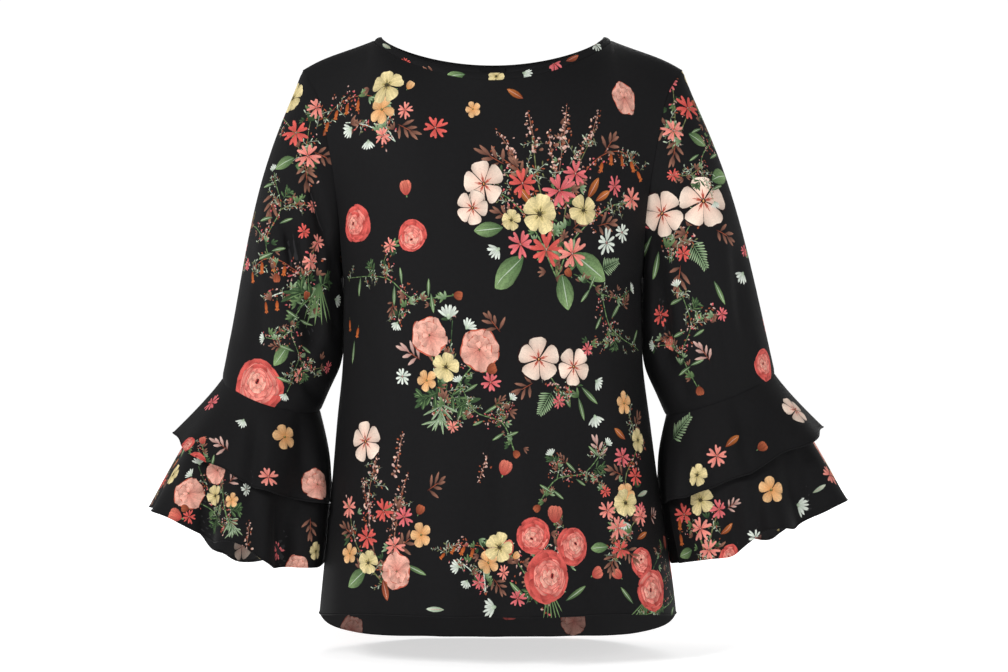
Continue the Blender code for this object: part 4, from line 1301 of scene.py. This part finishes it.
def snowdrop(pen, r):
    for turn in (-48, 40, -24, 18, 0):
        for side in (-9, 9):
            pen.petal("white", turn + side, r * pen.vary(0.12), 0.24 * r, at=(0, -0.25 * r),
                      full=1.5, blunt=0.75, points=4, fade=0.7)
    pen.petal("pale", 0, 0.45 * r, 0.34 * r, at=(0, -0.35 * r), full=1.0, points=4)


def bell(pen, r):
    pen.petal("bell", 0, 1.25 * r, 0.62 * r, at=(0, -0.5 * r), full=1.15, blunt=0.45, veins=0.5)
    for turn in (-42, 0, 42):
        pen.petal("bell", turn, 0.52 * r, 0.26 * r, at=(0, 0.55 * r), full=1.2, points=4, fade=0.5)
    pen.petal("olive", 180, 0.4 * r, 0.10 * r, at=(0, -0.45 * r), points=3)


def leaf(tone, width):
    def draw(pen, r):
        pen.petal(tone, 0, 2 * r, width * r, at=(0, -r), full=1.05, blunt=0.8, veins=0.5, points=9)
        pen.petal("pale" if tone in ("leaf", "green") else "heather", 0, 1.9 * r, 0.07 * r,
                  at=(0, -r), full=1.0, blunt=1.0, veins=0.0, points=4)
    return draw


def twig(tone):
    def draw(pen, r):
        stalk(pen, "rust", 1.5, 0.07, r)
        for k, turn in enumerate((-62, 55, -38, 36, -16, 8)):
            pen.petal(tone, turn * pen.vary(0.2), r * pen.vary(0.2), 0.30 * r,
                      at=(0, -0.8 * r + 0.22 * k * r), full=1.2, blunt=0.9, veins=0.5, points=4)
    return draw


def sprig(pen, r):
    stalk(pen, "dusty", 2.0, 0.05, r)
    for k in range(30):
        down = (k + 0.5) / 30
        spread = 0.30 * (1.15 - down) ** 0.7
        place = (pen.random.normal(0, spread * 0.6) * r, (2 * down - 0.95) * r)
        size = r * (0.20 - 0.09 * down) * pen.vary(0.45)
        tone = ("heather", "dusty", "phlox", "heather", "rust")[k % 5]
        pen.petal(tone, pen.random.uniform(-120, 120), size, 0.62 * size, at=place, points=3,
                  full=1.3, veins=0.3)


def leaflet(pen, r):
    tone = ("dark", "fern", "dusty", "dusty", "green")[int(pen.random.integers(5))]
    for turn in (-34, 30, 0):
        pen.petal(tone, turn, 1.3 * r * pen.vary(0.2), 0.42 * r, full=1.1, blunt=0.9, points=4,
                  veins=0.6)


def speck(pen, r):
    for k in range(5):
        at = pen.random.uniform(-0.8, 0.8, 2) * r
        pen.petal(("heather", "rust", "campion")[k % 3], pen.random.uniform(-180, 180),
                  0.42 * r * pen.vary(0.3), 0.26 * r, at=at, points=3)


def shoot(pen, r):
    stalk(pen, "grey", 2.2, 0.10, r)
    for k, side in enumerate((-1, 1, -1, 1, -1)):
        pen.petal(("olive", "pale", "rust")[k % 3], side * 48, 0.55 * r * pen.vary(0.3), 0.2 * r,
                  at=(0, (-0.6 + 0.38 * k) * r), points=3, full=1.2)


def fern(pen, r):
    stalk(pen, "fern", 2.0, 0.06, r)
    for k in range(10):
        down = k / 10
        for side in (-1, 1):
            pen.petal("fern", side * (62 - 20 * down), r * (0.85 - 0.6 * down) * pen.vary(0.1),
                      0.13 * r, at=(0, (1.7 * down - 0.8) * r), full=1.2, blunt=0.9, points=4)


def foliage(tone, width=0.30, count=9):
    def draw(pen, r):
        stalk(pen, "green", 1.4, 0.08, r)
        for k in range(count):
            turn = (140 * k / (count - 1) - 70) * (1 if k % 2 else -1)
            at = (0, (-0.7 + 0.9 * k / count) * r)
            pen.petal(tone, turn, r * pen.vary(0.25), width * r, at=at, full=1.2, blunt=0.8,
                      veins=0.7, points=5)
            pen.petal("green" if tone == "dark" else "pale", turn + 4, 0.8 * r, 0.25 * width * r,
                      at=at, full=1.0, points=3, veins=0)
    return draw


def bud(tone):
    def draw(pen, r):
        pen.petal("green", 180, 0.6 * r, 0.2 * r, at=(0, -0.6 * r), points=3)
        for turn, width in ((-14, 1.1), (14, 1.1), (0, 0.8)):
            pen.petal(tone, turn, 1.75 * r, width * r, at=(0, -0.9 * r), full=1.2, blunt=0.5,
                      veins=0.5, fade=0.8)
    return draw


def grass(pen, r):
    for turn in (-22, -13, -5, 4, 12, 21):
        pen.petal("green", turn, 2 * r * pen.vary(0.15), 0.10 * r, at=(0, -r), full=0.8,
                  blunt=0.8, points=3)


MOTIFS = {
    **{draw.__name__: draw for draw in (cosmos, phlox, campion, aster, peach, ranunculus, poppy,
                                        snowdrop, bell, sprig, fern, grass, leaflet, speck, shoot)},
    "leaf_green": leaf("leaf", 1.05), "leaf_small": leaf("green", 0.42),
    "leaf_pale": leaf("pale", 0.5), "leaf_orange": leaf("orange", 0.75),
    "leaf_rust": leaf("rust", 0.7), "twig": twig("dusty"), "twig_pale": twig("heather"),
    "foliage": foliage("dark"), "foliage_fine": foliage("fern", 0.14, 13),
    "bud": bud("bud"), "bud_small": bud("rust"), "bud_cream": bud("peach"),
}

# ---- the print's repeat
# Bouquets in millimetres from their middle, x right and y up.
# stems: tone, width, then points; motifs: kind, x, y, radius, turn
BOUQUETS = {
    "garden": ("""
    olive 1.5 6 -66 2 -20 -14 34 -20 84, 1.4 6 -66 12 -10 22 40 46 92,
    green 1.6 6 -66 -14 -22 -46 20 -74 34, 1.6 6 -66 24 -24 56 6 78 14, rust 1 2 -20 -30 44 -60 66,
    1 14 10 40 52 74 66 92 50, dusty 1 0 -10 8 50 14 96""", """
    sprig 14 92 25 -6, -20 88 23 12, 44 92 21 -24, 0 68 22 8, -46 74 19 38, 28 62 17 -18,
    twig -62 62 15 60, 62 76 14 -40, -34 48 13 35, bell 74 60 8 190, 84 54 8 200, 92 44 8 215,
    62 62 8 180, 52 54 7 165, leaf_orange 44 30 13 -36, 54 22 11 -62, -26 20 12 40, twig 30 -6 13 -50,
    -52 2 13 70, 58 -8 14 -80, leaf_green -44 -58 22 128, 40 -54 23 -126, 14 -80 19 -170, -66 -14 15 96,
    campion -30 34 15 10, 8 26 17 30, 26 44 13 -10, -6 -36 18 0, 22 -40 16 24, -32 -30 15 50, 84 18 12 5,
    66 32 11 40, cosmos -12 2 22 -14, 34 6 17 24, -42 -4 12 0, phlox -72 34 24 12, -84 8 18 -20,
    aster 58 -28 13 10, 74 -18 10 40, snowdrop -58 -36 12 130, fern 62 -52 14 -70"""),
    "buttercup": ("""
    dark 1.7 8 -52 4 -20 -22 10, 1.7 8 -52 14 -10 22 22, 1.3 8 -52 -2 10 0 46,
    green 1.2 8 -52 34 -14 48 10""", """
    grass 4 -48 18 170, leaf_small -22 -36 14 60, 40 -34 13 -50, foliage 24 -34 13 -150, bud 0 48 10 6,
    50 12 9 -24, -44 -14 8 66, ranunculus -18 12 19 40, 22 24 17 200, 8 -18 26 100"""),
    "meadow": ("""
    green 1.4 0 -50 -12 -8 -34 26, 1.4 0 -50 10 -6 30 34, dark 1.2 0 -50 0 0 4 52""", """
    foliage -16 -30 17 120, 20 -28 15 -120, foliage_fine 2 -46 17 176, snowdrop 8 56 13 -12, -12 48 10 26,
    twig_pale 40 14 14 -70, aster 46 -10 9 0, campion -42 -4 10 20, poppy -28 28 21 20, 26 34 19 -40,
    cosmos 4 4 15 10, peach 20 -12 11 40, bud_small -42 10 7 60"""),
    "pair": ("""
    green 1.4 10 -44 -4 -10 -16 16, 1.4 10 -44 14 -16 22 2""", """
    fern -18 -34 16 140, leaf_small 34 -34 15 -140, 22 -48 14 -170, twig -40 -12 13 110,
    snowdrop 46 -20 11 -130, phlox -16 18 25 -8, 22 2 22 26, campion -2 -34 8 0"""),
    "spray": ("""
    white 1.3 -16 -34 -4 -6 -12 24, 1.3 -16 -34 8 -16 34 -8, rust 0.9 -12 6 14 18 40 10 56 -8""", """
    twig -30 -22 14 120, campion -30 -2 9 10, -4 -26 10 30, bell 18 10 8 180, 30 8 8 186, 42 2 7 196,
    53 -9 7 204, peach -6 2 15 30, cosmos -14 26 20 8, snowdrop 30 -16 12 -120, 12 -32 10 180,
    bud_cream -38 24 6 40"""),
    "pinks": ("""
    olive 1.2 4 -42 -4 -8 -22 22, 1.2 4 -42 8 -4 18 30""", """
    leaf_green -20 -26 13 110, twig 22 -24 14 -120, 2 -44 14 180, leaf_orange 30 4 10 -50,
    campion -24 22 13 0, -4 4 15 24, 20 28 12 10, 6 -22 13 40, cosmos -4 40 19 20, twig_pale 36 34 11 -60"""),
    "thicket": ("""
    dusty 1.2 0 -60 -10 -10 -8 40 6 84, 1.2 0 -60 16 0 30 46, olive 1.2 0 -60 -26 -10 -30 30""", """
    sprig 2 72 20 -8, -12 40 17 12, 28 42 17 -28, 14 12 15 -6, leaf_green -30 -46 16 120,
    leaf_small 32 -44 13 -120, twig 28 -12 13 -60, -34 6 12 60, campion -30 30 11 0, 6 22 12 30,
    26 14 11 10, -14 -4 12 20, 14 -16 11 45, cosmos -16 -30 13 0, peach 42 -8 13 12, -34 -18 11 0,
    poppy 12 -44 18 160, bud_small 44 20 6 -30, leaf_rust -2 -62 11 190"""),
    "rope": ("""
    olive 1.2 -4 -66 8 -20 -6 24 6 70""", """
    peach 6 66 13 0, twig -8 46 12 50, cosmos -8 26 14 10, leaf_orange 12 34 10 -50, campion 10 8 11 20,
    twig 18 -8 12 -70, campion -4 -14 10 0, peach 8 -32 12 30, leaf_pale -12 -34 11 80,
    campion -8 -52 9 0, snowdrop 10 -66 10 170"""),
    "vine": ("""
    green 1.2 -62 -22 -24 4 20 0 62 24, 0.9 -24 4 -14 22 -18 40, olive 0.9 20 0 34 -16 36 -34""", """
    leaf_small -44 -2 12 40, -30 -16 11 -150, 2 14 12 30, 8 -12 10 -140, 44 26 12 30,
    foliage 44 -2 11 -110, snowdrop -18 44 10 10, 66 28 10 -60, campion 38 -38 9 0,
    bud_small -66 -26 7 110, twig -4 30 10 20"""),
    "bluebells": ("""
    white 1.2 26 -44 2 -20 -30 -26, rust 0.9 26 -44 6 -2 -26 18 -44 6, green 1.6 26 -44 14 -4 22 36""", """
    bell -44 0 8 190, -34 10 8 180, -22 12 8 176, -10 6 7 170, -30 -32 8 185, -18 -30 7 180,
    grass 26 -30 22 176, foliage 8 -18 16 60, 34 -6 14 -60, campion 18 14 10 0, 24 34 9 30, 10 46 8 0,
    snowdrop 44 -26 9 -100"""),
}

# bouquet or single motif, millimetres across (to the right as seen) and down, turn, size
# (radius for a single motif), and -1 for its mirror image
FACING = {
    "front": """
    garden 62 188 0 1, spray -122 78 6 1 -1, ranunculus -144 196 70 19, -84 208 200 16, bud -92 158 10 9,
    poppy 138 62 30 17, meadow -46 352 -8 1.05 -1, twig 0 300 40 13, pair 66 352 10 0.9,
    bell -150 300 190 8, -142 308 170 7, leaf_small -146 330 170 12, thicket -118 520 6 1,
    phlox -134 424 10 21, sprig -98 440 -10 22, twig -60 470 -60 13, buttercup 66 548 0 1 -1,
    rope 146 448 2 0.95 -1, snowdrop 0 600 100 13, bud 14 452 -20 9, sprig -10 452 160 15,
    buttercup 168 566 -20 0.8, campion 26 590 0 9, leaf_pale -60 602 90 11, twig_pale 110 430 20 12,
    snowdrop 108 400 200 12, campion -60 96 20 12, leaf_orange 24 60 60 10, cosmos 176 300 0 13,
    peach -20 76 20 9, vine -96 262 150 0.85, 118 290 -70 0.8, -6 400 -30 0.7 -1, pinks 134 520 -16 0.8,
    vine 84 462 20 0.7, spray -10 552 -20 0.8 -1""",
    "sleeve_left": """
    pinks -202 104 6 1, peach -226 62 10 12, twig -232 176 170 15, leaf_small -262 168 120 13,
    bluebells -208 250 0 1, ranunculus -246 368 60 27, bud -288 330 60 9, campion -204 356 0 9,
    snowdrop -286 236 150 11, leaf_green -222 334 140 14, vine -228 196 70 0.8, -206 324 100 0.75 -1""",
    "sleeve_right": """
    pair 202 190 -6 1.1 -1, pinks 200 78 -10 1 -1, leaf_green 238 146 -80 17, twig 196 254 170 15,
    snowdrop 262 250 150 12, bud 188 322 150 9, campion 176 292 0 11, ranunculus 286 344 40 16,
    leaf_small 238 268 -150 14, twig_pale 222 330 40 13, vine 222 122 -100 0.75, 206 316 80 0.8""",
    "flounce_upper_left": """
    peach -218 420 10 14, buttercup -322 446 40 0.55, campion -236 462 0 11, poppy -184 468 20 16,
    twig_pale -286 428 60 12, snowdrop -262 404 160 9""",
    "flounce_upper_right": """
    fern 198 410 -40 19, phlox 318 392 10 17, campion 236 440 0 12, leaf_orange 252 424 -50 10,
    cosmos 214 460 10 13, bud_small 284 430 -60 7""",
    "flounce_lower_left": """
    meadow -292 486 30 0.75, sprig -258 528 -10 18, campion -226 540 0 10, poppy -206 556 10 13,
    twig -192 516 180 12, bud -334 502 70 9, cosmos -186 540 0 10""",
    "flounce_lower_right": """
    peach 292 476 0 15, snowdrop 322 492 -100 13, pinks 222 520 0 0.85, bell 196 510 180 8, 198 526 190 8,
    leaf_pale 344 474 -60 9, ranunculus 250 548 90 13, aster 276 526 0 9""",
    "neck_binding": """
    leaf_pale -112 9 60 9, campion -92 27 0 8, twig -70 38 80 11, leaf_green -40 40 95 11,
    cosmos 4 41 0 9, snowdrop 34 38 260 10, campion 64 28 0 9, leaf_rust 84 22 -60 9, aster 108 8 0 9""",
}
BEHIND = {
    "back": """
    garden 48 250 0 1 -1, meadow -96 120 6 1, buttercup -82 300 8 0.95, spray 96 92 0 1,
    thicket -112 470 0 1 -1, pair 20 440 -6 1, bluebells 134 420 0 1, buttercup 86 552 6 1,
    pinks -20 560 0 0.95 -1, ranunculus -10 74 30 18, twig -24 180 40 14, campion -140 230 0 12,
    bud -20 356 10 9, snowdrop 150 316 150 12, rope -150 320 0 0.9, phlox 142 200 10 19,
    leaf_small -48 400 60 14, campion 40 624 0 10, snowdrop -90 618 170 12, poppy -94 644 0 15,
    ranunculus -20 630 0 13, poppy 158 638 0 14, campion -140 640 0 10, cosmos -128 578 0 13,
    vine 70 360 20 0.8, -60 500 -30 0.8 -1, pinks 150 590 0 0.9, ranunculus -156 596 20 16,
    bud -150 560 30 9""",
    "sleeve_left": """
    spray 206 96 8 1, pair 212 214 0 1, buttercup 240 324 10 0.8, bud 262 150 50 9, vine 206 268 90 0.8,
    226 152 60 0.7 -1, campion 186 290 0 10""",
    "sleeve_right": """
    ranunculus -196 84 20 18, bluebells -222 160 0 1 -1, meadow -226 270 -8 0.95, pinks -282 346 -20 0.7,
    vine -208 216 -80 0.8, -202 330 80 0.7 -1, bud -236 88 -40 9""",
    "flounce_upper_left": """
    phlox 206 430 0 16, campion 240 446 10 10, leaf_green 276 426 80 13, aster 310 440 0 10""",
    "flounce_upper_right": """
    poppy -214 440 20 15, bell -250 430 180 8, -262 434 190 8, twig -292 420 -60 13, cosmos -322 440 0 11""",
    "flounce_lower_left": """
    buttercup 218 520 0 0.8, cosmos 286 508 0 12, twig 320 486 60 13, campion 262 550 0 9,
    phlox 284 552 0 15, cosmos 262 557 0 10""",
    "flounce_lower_right": """
    spray -232 520 0 0.9, ranunculus -300 500 60 15, leaf_small -332 486 -60 12, campion -196 548 0 9,
    poppy -296 536 0 12, cosmos -318 530 0 10""",
    "neck_binding": """
    campion 96 8 0 8, twig 60 24 80 10, poppy 30 30 0 10, leaf_green -6 32 85 10, campion -40 30 0 9,
    peach -70 22 0 9, leaf_pale -96 10 -60 9""",
}
FROM_RIGHT = {
    "sleeve_right": """
    vine 0 240 -80 0.8 -1, campion -8 300 0 12, peach 10 190 0 12""",
    "flounce_upper_right": """
    campion 24 392 0 11, leaf_green 60 412 60 12""",
    "flounce_lower_right": """
    meadow 20 474 10 0.7 -1, campion -54 480 0 11, phlox 76 478 0 15, twig -22 452 60 12""",
}
FROM_LEFT = {
    "sleeve_left": """
    vine 0 250 70 0.8, campion 16 214 0 11, cosmos -14 302 0 13""",
    "flounce_upper_left": """
    poppy -20 400 20 15, campion 34 392 0 11, twig_pale -62 416 60 12""",
    "flounce_lower_left": """
    pinks -14 474 8 0.8, cosmos 52 478 0 13, leaf_green 24 452 70 12, ranunculus -66 482 30 14""",
}
# by the azimuth that each table is seen from: 0 the front, 90 the right, 180 behind, 270 the left
VIEWS = {0: FACING, 180: BEHIND, 90: FROM_RIGHT, 270: FROM_LEFT}


# ---- materials
class Nodes:
    """A shader's nodes, and short ways to add to them."""

    def __init__(self, tree):
        self.tree = tree

    def feed(self, socket, source):
        """Links an output to a socket, or sets the socket's own value."""
        if isinstance(source, bpy.types.NodeSocket):
            self.tree.links.new(source, socket)
        else:
            socket.default_value = source

    def add(self, kind, inputs, **settings):
        """Adds a node. Its inputs go by socket name or number."""
        made = self.tree.nodes.new("ShaderNode" + kind)
        for name, value in settings.items():
            setattr(made, name, value)
        for socket, source in inputs.items():
            self.feed(made.inputs[socket], source)
        return made

    def math(self, operation, *sources):
        return self.add("Math", dict(enumerate(sources)), operation=operation).outputs[0]

    def noise(self, vector, scale, detail=2.0, roughness=0.5):
        return self.add("TexNoise", {"Vector": vector, "Scale": scale, "Detail": detail,
                                     "Roughness": roughness}).outputs["Fac"]

    def mix(self, factor, first, second):
        inputs = {0: factor, 6: first, 7: second}
        return self.add("Mix", inputs, data_type="RGBA").outputs[2]

    def parts(self, vector):
        return self.add("SeparateXYZ", {0: vector}).outputs

    def bump(self, height, strength, distance):
        inputs = {"Height": height, "Strength": strength, "Distance": distance}
        return self.add("Bump", inputs).outputs["Normal"]


def group(name, inputs, outputs):
    """An empty node group with named sockets, its inner inputs and its inner outputs."""
    tree = bpy.data.node_groups.new(name, "ShaderNodeTree")
    for way, sockets in (("INPUT", inputs), ("OUTPUT", outputs)):
        for label, kind in sockets.items():
            tree.interface.new_socket(label, in_out=way, socket_type="NodeSocket" + kind)
    inside, out = (tree.nodes.new("NodeGroup" + end) for end in ("Input", "Output"))
    return Nodes(tree), inside.outputs, out.inputs


def material(name, **settings):
    """A material, its nodes and its shader, with values set on the shader's own sockets."""
    made = bpy.data.materials.new(name)
    made.use_nodes = True
    shader = made.node_tree.nodes["Principled BSDF"].inputs
    for label, value in settings.items():
        shader[label.replace("_", " ")].default_value = value
    return made, Nodes(made.node_tree), shader


def petal_group():
    """Veins, rounded edges and uneven ink on a printed shape, from the place on its petal."""
    nodes, inside, out = group("petal_ink", {"Print": "Color", "Petal": "Vector",
                                             "Place": "Vector"}, {"Ink": "Color"})
    math_node = nodes.math
    along, across, strength = nodes.parts(inside["Petal"])
    ray = math_node("DIVIDE", across, math_node("ADD", along, INK["foot"]))
    wobble = nodes.noise(inside["Place"], *INK["wobble_noise"])
    wobble = math_node("MULTIPLY", wobble, INK["wobble"])
    wave = math_node("SINE", math_node("MULTIPLY_ADD", ray, INK["rays"], wobble))
    vein = math_node("MULTIPLY", math_node("MULTIPLY_ADD", wave, 0.5, 0.5), strength)
    # petals darken towards their sides, more where they are veined
    side = math_node("POWER", math_node("ABSOLUTE", across), INK["edge_power"])
    rounded_off = math_node("MULTIPLY_ADD", side, -INK["edge"], 1.0)
    rounded_off.node.use_clamp = True
    mottle = nodes.noise(inside["Place"], *INK["mottle_noise"])
    dark = math_node("MULTIPLY_ADD", mottle, -INK["mottle"], 1 + INK["mottle"] / 2)
    shade = math_node("MULTIPLY", dark, math_node("MULTIPLY_ADD", vein, -INK["veins"], 1.0))
    shade = math_node("MULTIPLY", shade, rounded_off)
    scaled = nodes.add("VectorMath", {0: inside["Print"]}, operation="SCALE")
    nodes.feed(scaled.inputs["Scale"], shade)
    nodes.feed(out["Ink"], scaled.outputs[0])
    return nodes.tree


def crepe_group():
    """Grain of the cloth: a fine weave with crepe's uneven twist, in flat millimetres."""
    nodes, inside, out = group("crepe_grain", {"Place": "Vector", "Hem": "Float"},
                               {"Height": "Float", "Tone": "Float"})
    math_node = nodes.math
    crepe, slub = (nodes.noise(inside["Place"], *WEAVE[name]) for name in ("crepe", "slub"))
    across, along, _ = nodes.parts(inside["Place"])
    threads = [math_node("SINE", math_node("MULTIPLY", axis, 2 * math.pi / WEAVE["thread"]))
               for axis in (across, along)]
    weave = math_node("MULTIPLY", math_node("MULTIPLY", *threads), WEAVE["thread_height"])
    height = math_node("MULTIPLY_ADD", crepe, WEAVE["crepe_height"], weave)
    # a row of stitches holds the narrow hem
    stitch = math_node("SINE", math_node("MULTIPLY", across, 2 * math.pi / WEAVE["stitch"]))
    near = math_node("COMPARE", inside["Hem"], WEAVE["stitch_line"], WEAVE["stitch_reach"])
    dent = math_node("MULTIPLY", near, math_node("GREATER_THAN", stitch, WEAVE["stitch_from"]))
    dent = math_node("MULTIPLY", dent, WEAVE["stitch_depth"])
    nodes.feed(out["Height"], math_node("SUBTRACT", height, dent))
    nodes.feed(out["Tone"], math_node("ADD", math_node("MULTIPLY", slub, WEAVE["slub_tone"]),
                                      math_node("MULTIPLY", crepe, WEAVE["crepe_tone"])))
    return nodes.tree


def cloth_material():
    made, nodes, shader = material(
        "printed_crepe", Roughness=CREPE["roughness"], Specular_IOR_Level=CREPE["specular"],
        Sheen_Weight=CREPE["sheen"], Sheen_Roughness=CREPE["sheen_roughness"])
    cover, petal, place, hem = (nodes.add("Attribute", {}, attribute_name=name).outputs
                                for name in ("Print", "Petal", "Place", "Hem"))
    ink = nodes.add("Group", {}, node_tree=petal_group())
    grain = nodes.add("Group", {}, node_tree=crepe_group())
    for used, label, source in ((ink, "Print", cover["Color"]), (ink, "Petal", petal["Vector"]),
                                (ink, "Place", place["Vector"]), (grain, "Place", place["Vector"]),
                                (grain, "Hem", hem["Fac"])):
        nodes.feed(used.inputs[label], source)
    ground = nodes.mix(grain.outputs["Tone"], CREPE["deep"], CREPE["light"])
    face_colour = nodes.mix(cover["Alpha"], ground, ink.outputs["Ink"])
    # the print comes through to the reverse, greyer and fainter
    reverse = nodes.mix(CREPE["shows_through"], CREPE["reverse"], face_colour)
    inner = nodes.parts(place["Vector"])[2]
    nodes.feed(shader["Base Color"], nodes.mix(inner, face_colour, reverse))
    nodes.feed(shader["Normal"], nodes.bump(grain.outputs["Height"], *CREPE["bump"]))
    return made


def satin_material():
    """The blank label: a smooth narrow ribbon with a fine cross rib."""
    made, nodes, shader = material(
        "label_satin", Roughness=SATIN["roughness"], Sheen_Weight=SATIN["sheen"])
    spot = nodes.add("TexCoord", {}).outputs["Object"]
    height = nodes.parts(spot)[2]
    rib = nodes.math("SINE", nodes.math("MULTIPLY", height, 2 * math.pi / SATIN["rib"]))
    speck_mask = nodes.noise(spot, SATIN["speck"])
    nodes.feed(shader["Base Color"], nodes.mix(speck_mask, SATIN["deep"], SATIN["light"]))
    nodes.feed(shader["Normal"], nodes.bump(rib, *SATIN["bump"]))
    return made


# ---- stage
def add_object(name, data):
    made = bpy.data.objects.new(name, data)
    bpy.context.scene.collection.objects.link(made)
    return made


def stage():
    """A wide pale floor just under the hem, with a painted glow of its own, and a pale sky that meets it
    without a line.
    """
    mesh = bpy.data.meshes.new("floor")
    sides = STAGE["sides"]
    points = [(STAGE["radius"] * math.cos(t), STAGE["radius"] * math.sin(t), STAGE["floor"])
              for t in np.linspace(0, 2 * math.pi, sides + 1)[:-1]]
    mesh.from_pydata(points, [], [list(range(sides))])
    made, nodes, shader = material(
        "pale_floor_painted_glow", Base_Color=STAGE["colour"], Roughness=STAGE["roughness"], Specular_IOR_Level=0.0,
        Emission_Color=(1, 1, 1, 1))
    away = nodes.add("VectorMath", {0: nodes.add("TexCoord", {}).outputs["Object"]},
                     operation="LENGTH").outputs["Value"]
    # the floor's glow is painted light: it is dimmer near the piece, a painted shade round it that deepens
    # the shadow there, and far off the floor is as bright as the sky
    values = (away, *STAGE["glow_span"], STAGE["glow_near"], STAGE["glow_far"])
    glow = nodes.add("MapRange", dict(enumerate(values)))
    nodes.feed(shader["Emission Strength"], glow.outputs[0])
    mesh.materials.append(made)
    add_object("floor", mesh)
    world = bpy.data.worlds.new("studio")
    world.use_nodes = True
    nodes = Nodes(world.node_tree)
    seen = nodes.add("LightPath", {}).outputs["Is Camera Ray"]
    strength = nodes.math("MULTIPLY_ADD", seen, STAGE["sky_seen"] - STAGE["sky_light"],
                          STAGE["sky_light"])
    background = world.node_tree.nodes["Background"].inputs
    nodes.feed(background["Strength"], strength)
    background["Color"].default_value = (1, 1, 1, 1)
    bpy.context.scene.world = world


def lamp(name, spot, size, power):
    light = bpy.data.lights.new(name, "AREA")
    light.shape = "RECTANGLE"
    light.size, light.size_y = size
    light.energy = power
    made = add_object(name, light)
    made.location = spot
    made.rotation_euler = (Vector(LIT) - Vector(spot)).to_track_quat("-Z", "Y").to_euler()


def camera():
    lens = bpy.data.cameras.new("camera")
    lens.lens, lens.sensor_width = LENS
    made = add_object("camera", lens)
    made.location = EYE
    made.rotation_euler = (math.pi / 2, 0.0, 0.0)
    bpy.context.scene.camera = made


# ---- the pieces
def roll_round(grid):
    """Starts a tube's columns at its inner side, where the underarm seam is."""
    return np.roll(grid, grid.shape[1] // 2, axis=1)


def rounded(grid):
    """Rounds the line down a sleeve's outer side, where its front and back halves meet."""
    soft = grid
    for _ in range(OUTER_ROUNDING["times"]):
        soft = (np.roll(soft, 1, axis=1) + 2 * soft + np.roll(soft, -1, axis=1)) / 4
    down, across = np.indices(grid.shape[:2])
    near = np.exp(-((across - grid.shape[1] // 2) / OUTER_ROUNDING["columns"]) ** 2)
    inside = ease(np.minimum(down, len(grid) - 1 - down) / OUTER_ROUNDING["rows"])
    return grid + (soft - grid) * (near * inside)[..., None]


def all_surfaces():
    """Every piece's outer face, with its folds and the edges that run under a seam."""
    made = {
        "front": Surface(panel(-1), False, 1), "back": Surface(panel(1), False, -1),
        "neck_binding": Surface(with_allowance(roll_round(binding()), BINDING_ALLOWANCE), True, 1),
        "neck_label": Surface(neck_label(), False, 1),
    }
    made["front"].fold(FOLDS["front"], 1)
    made["back"].fold(FOLDS["back"], -1)
    made["back"].tuck("sides", UNDER_SEAM)
    places, corner = panel_places()
    made["back"].tuck("last", UNDER_SEAM, np.abs(places) > corner - EDGE)
    for side, name in ((-1, "left"), (1, "right")):
        tubes = {"sleeve": rounded(roll_round(sleeve(side, name)))}
        for tier in ("upper", "lower"):
            tubes["flounce_" + tier] = roll_round(flounce(side, name, tier))
        for kind, grid in tubes.items():
            tube = made[kind + "_" + name] = Surface(grid, True, side)
            for view, seen in ((1, " in front"), (-1, " behind")):
                tube.fold(FOLDS[kind.split("_")[0] + "_" + name + seen], view)
            if kind == "sleeve":
                tube.tuck("first", UNDER_SEAM)
                tube.tuck("last", UNDER_SEAM)
    return made


def printed(name, surface, seed):
    """Shapes of the print on a piece."""
    printer = Printer(surface, seed)
    for azimuth, layout in VIEWS.items():
        if name in layout:
            printer.look(azimuth)
            for row in rows_of(layout[name]):
                printer.bouquet(*row)
    return printer.shapes


def main():
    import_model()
    cloth, satin = cloth_material(), satin_material()
    for k, (name, surface) in enumerate(all_surfaces().items()):
        kind = name.split("_")[0]
        if name == "neck_label":
            piece = shell("cloth_" + name, surface, [], satin, **CUTS["label"])
        else:
            shapes = printed(name, surface, SEEDS_APART * k)
            piece = shell("cloth_" + name, surface, shapes, cloth, **CUTS[kind])
        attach(piece, "root")
        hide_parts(name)
    stage()
    for row in LAMPS:
        lamp(*row)
    camera()
    scene = bpy.context.scene
    scene.view_settings.view_transform = "Standard"
    scene.view_settings.look = "None"


main()
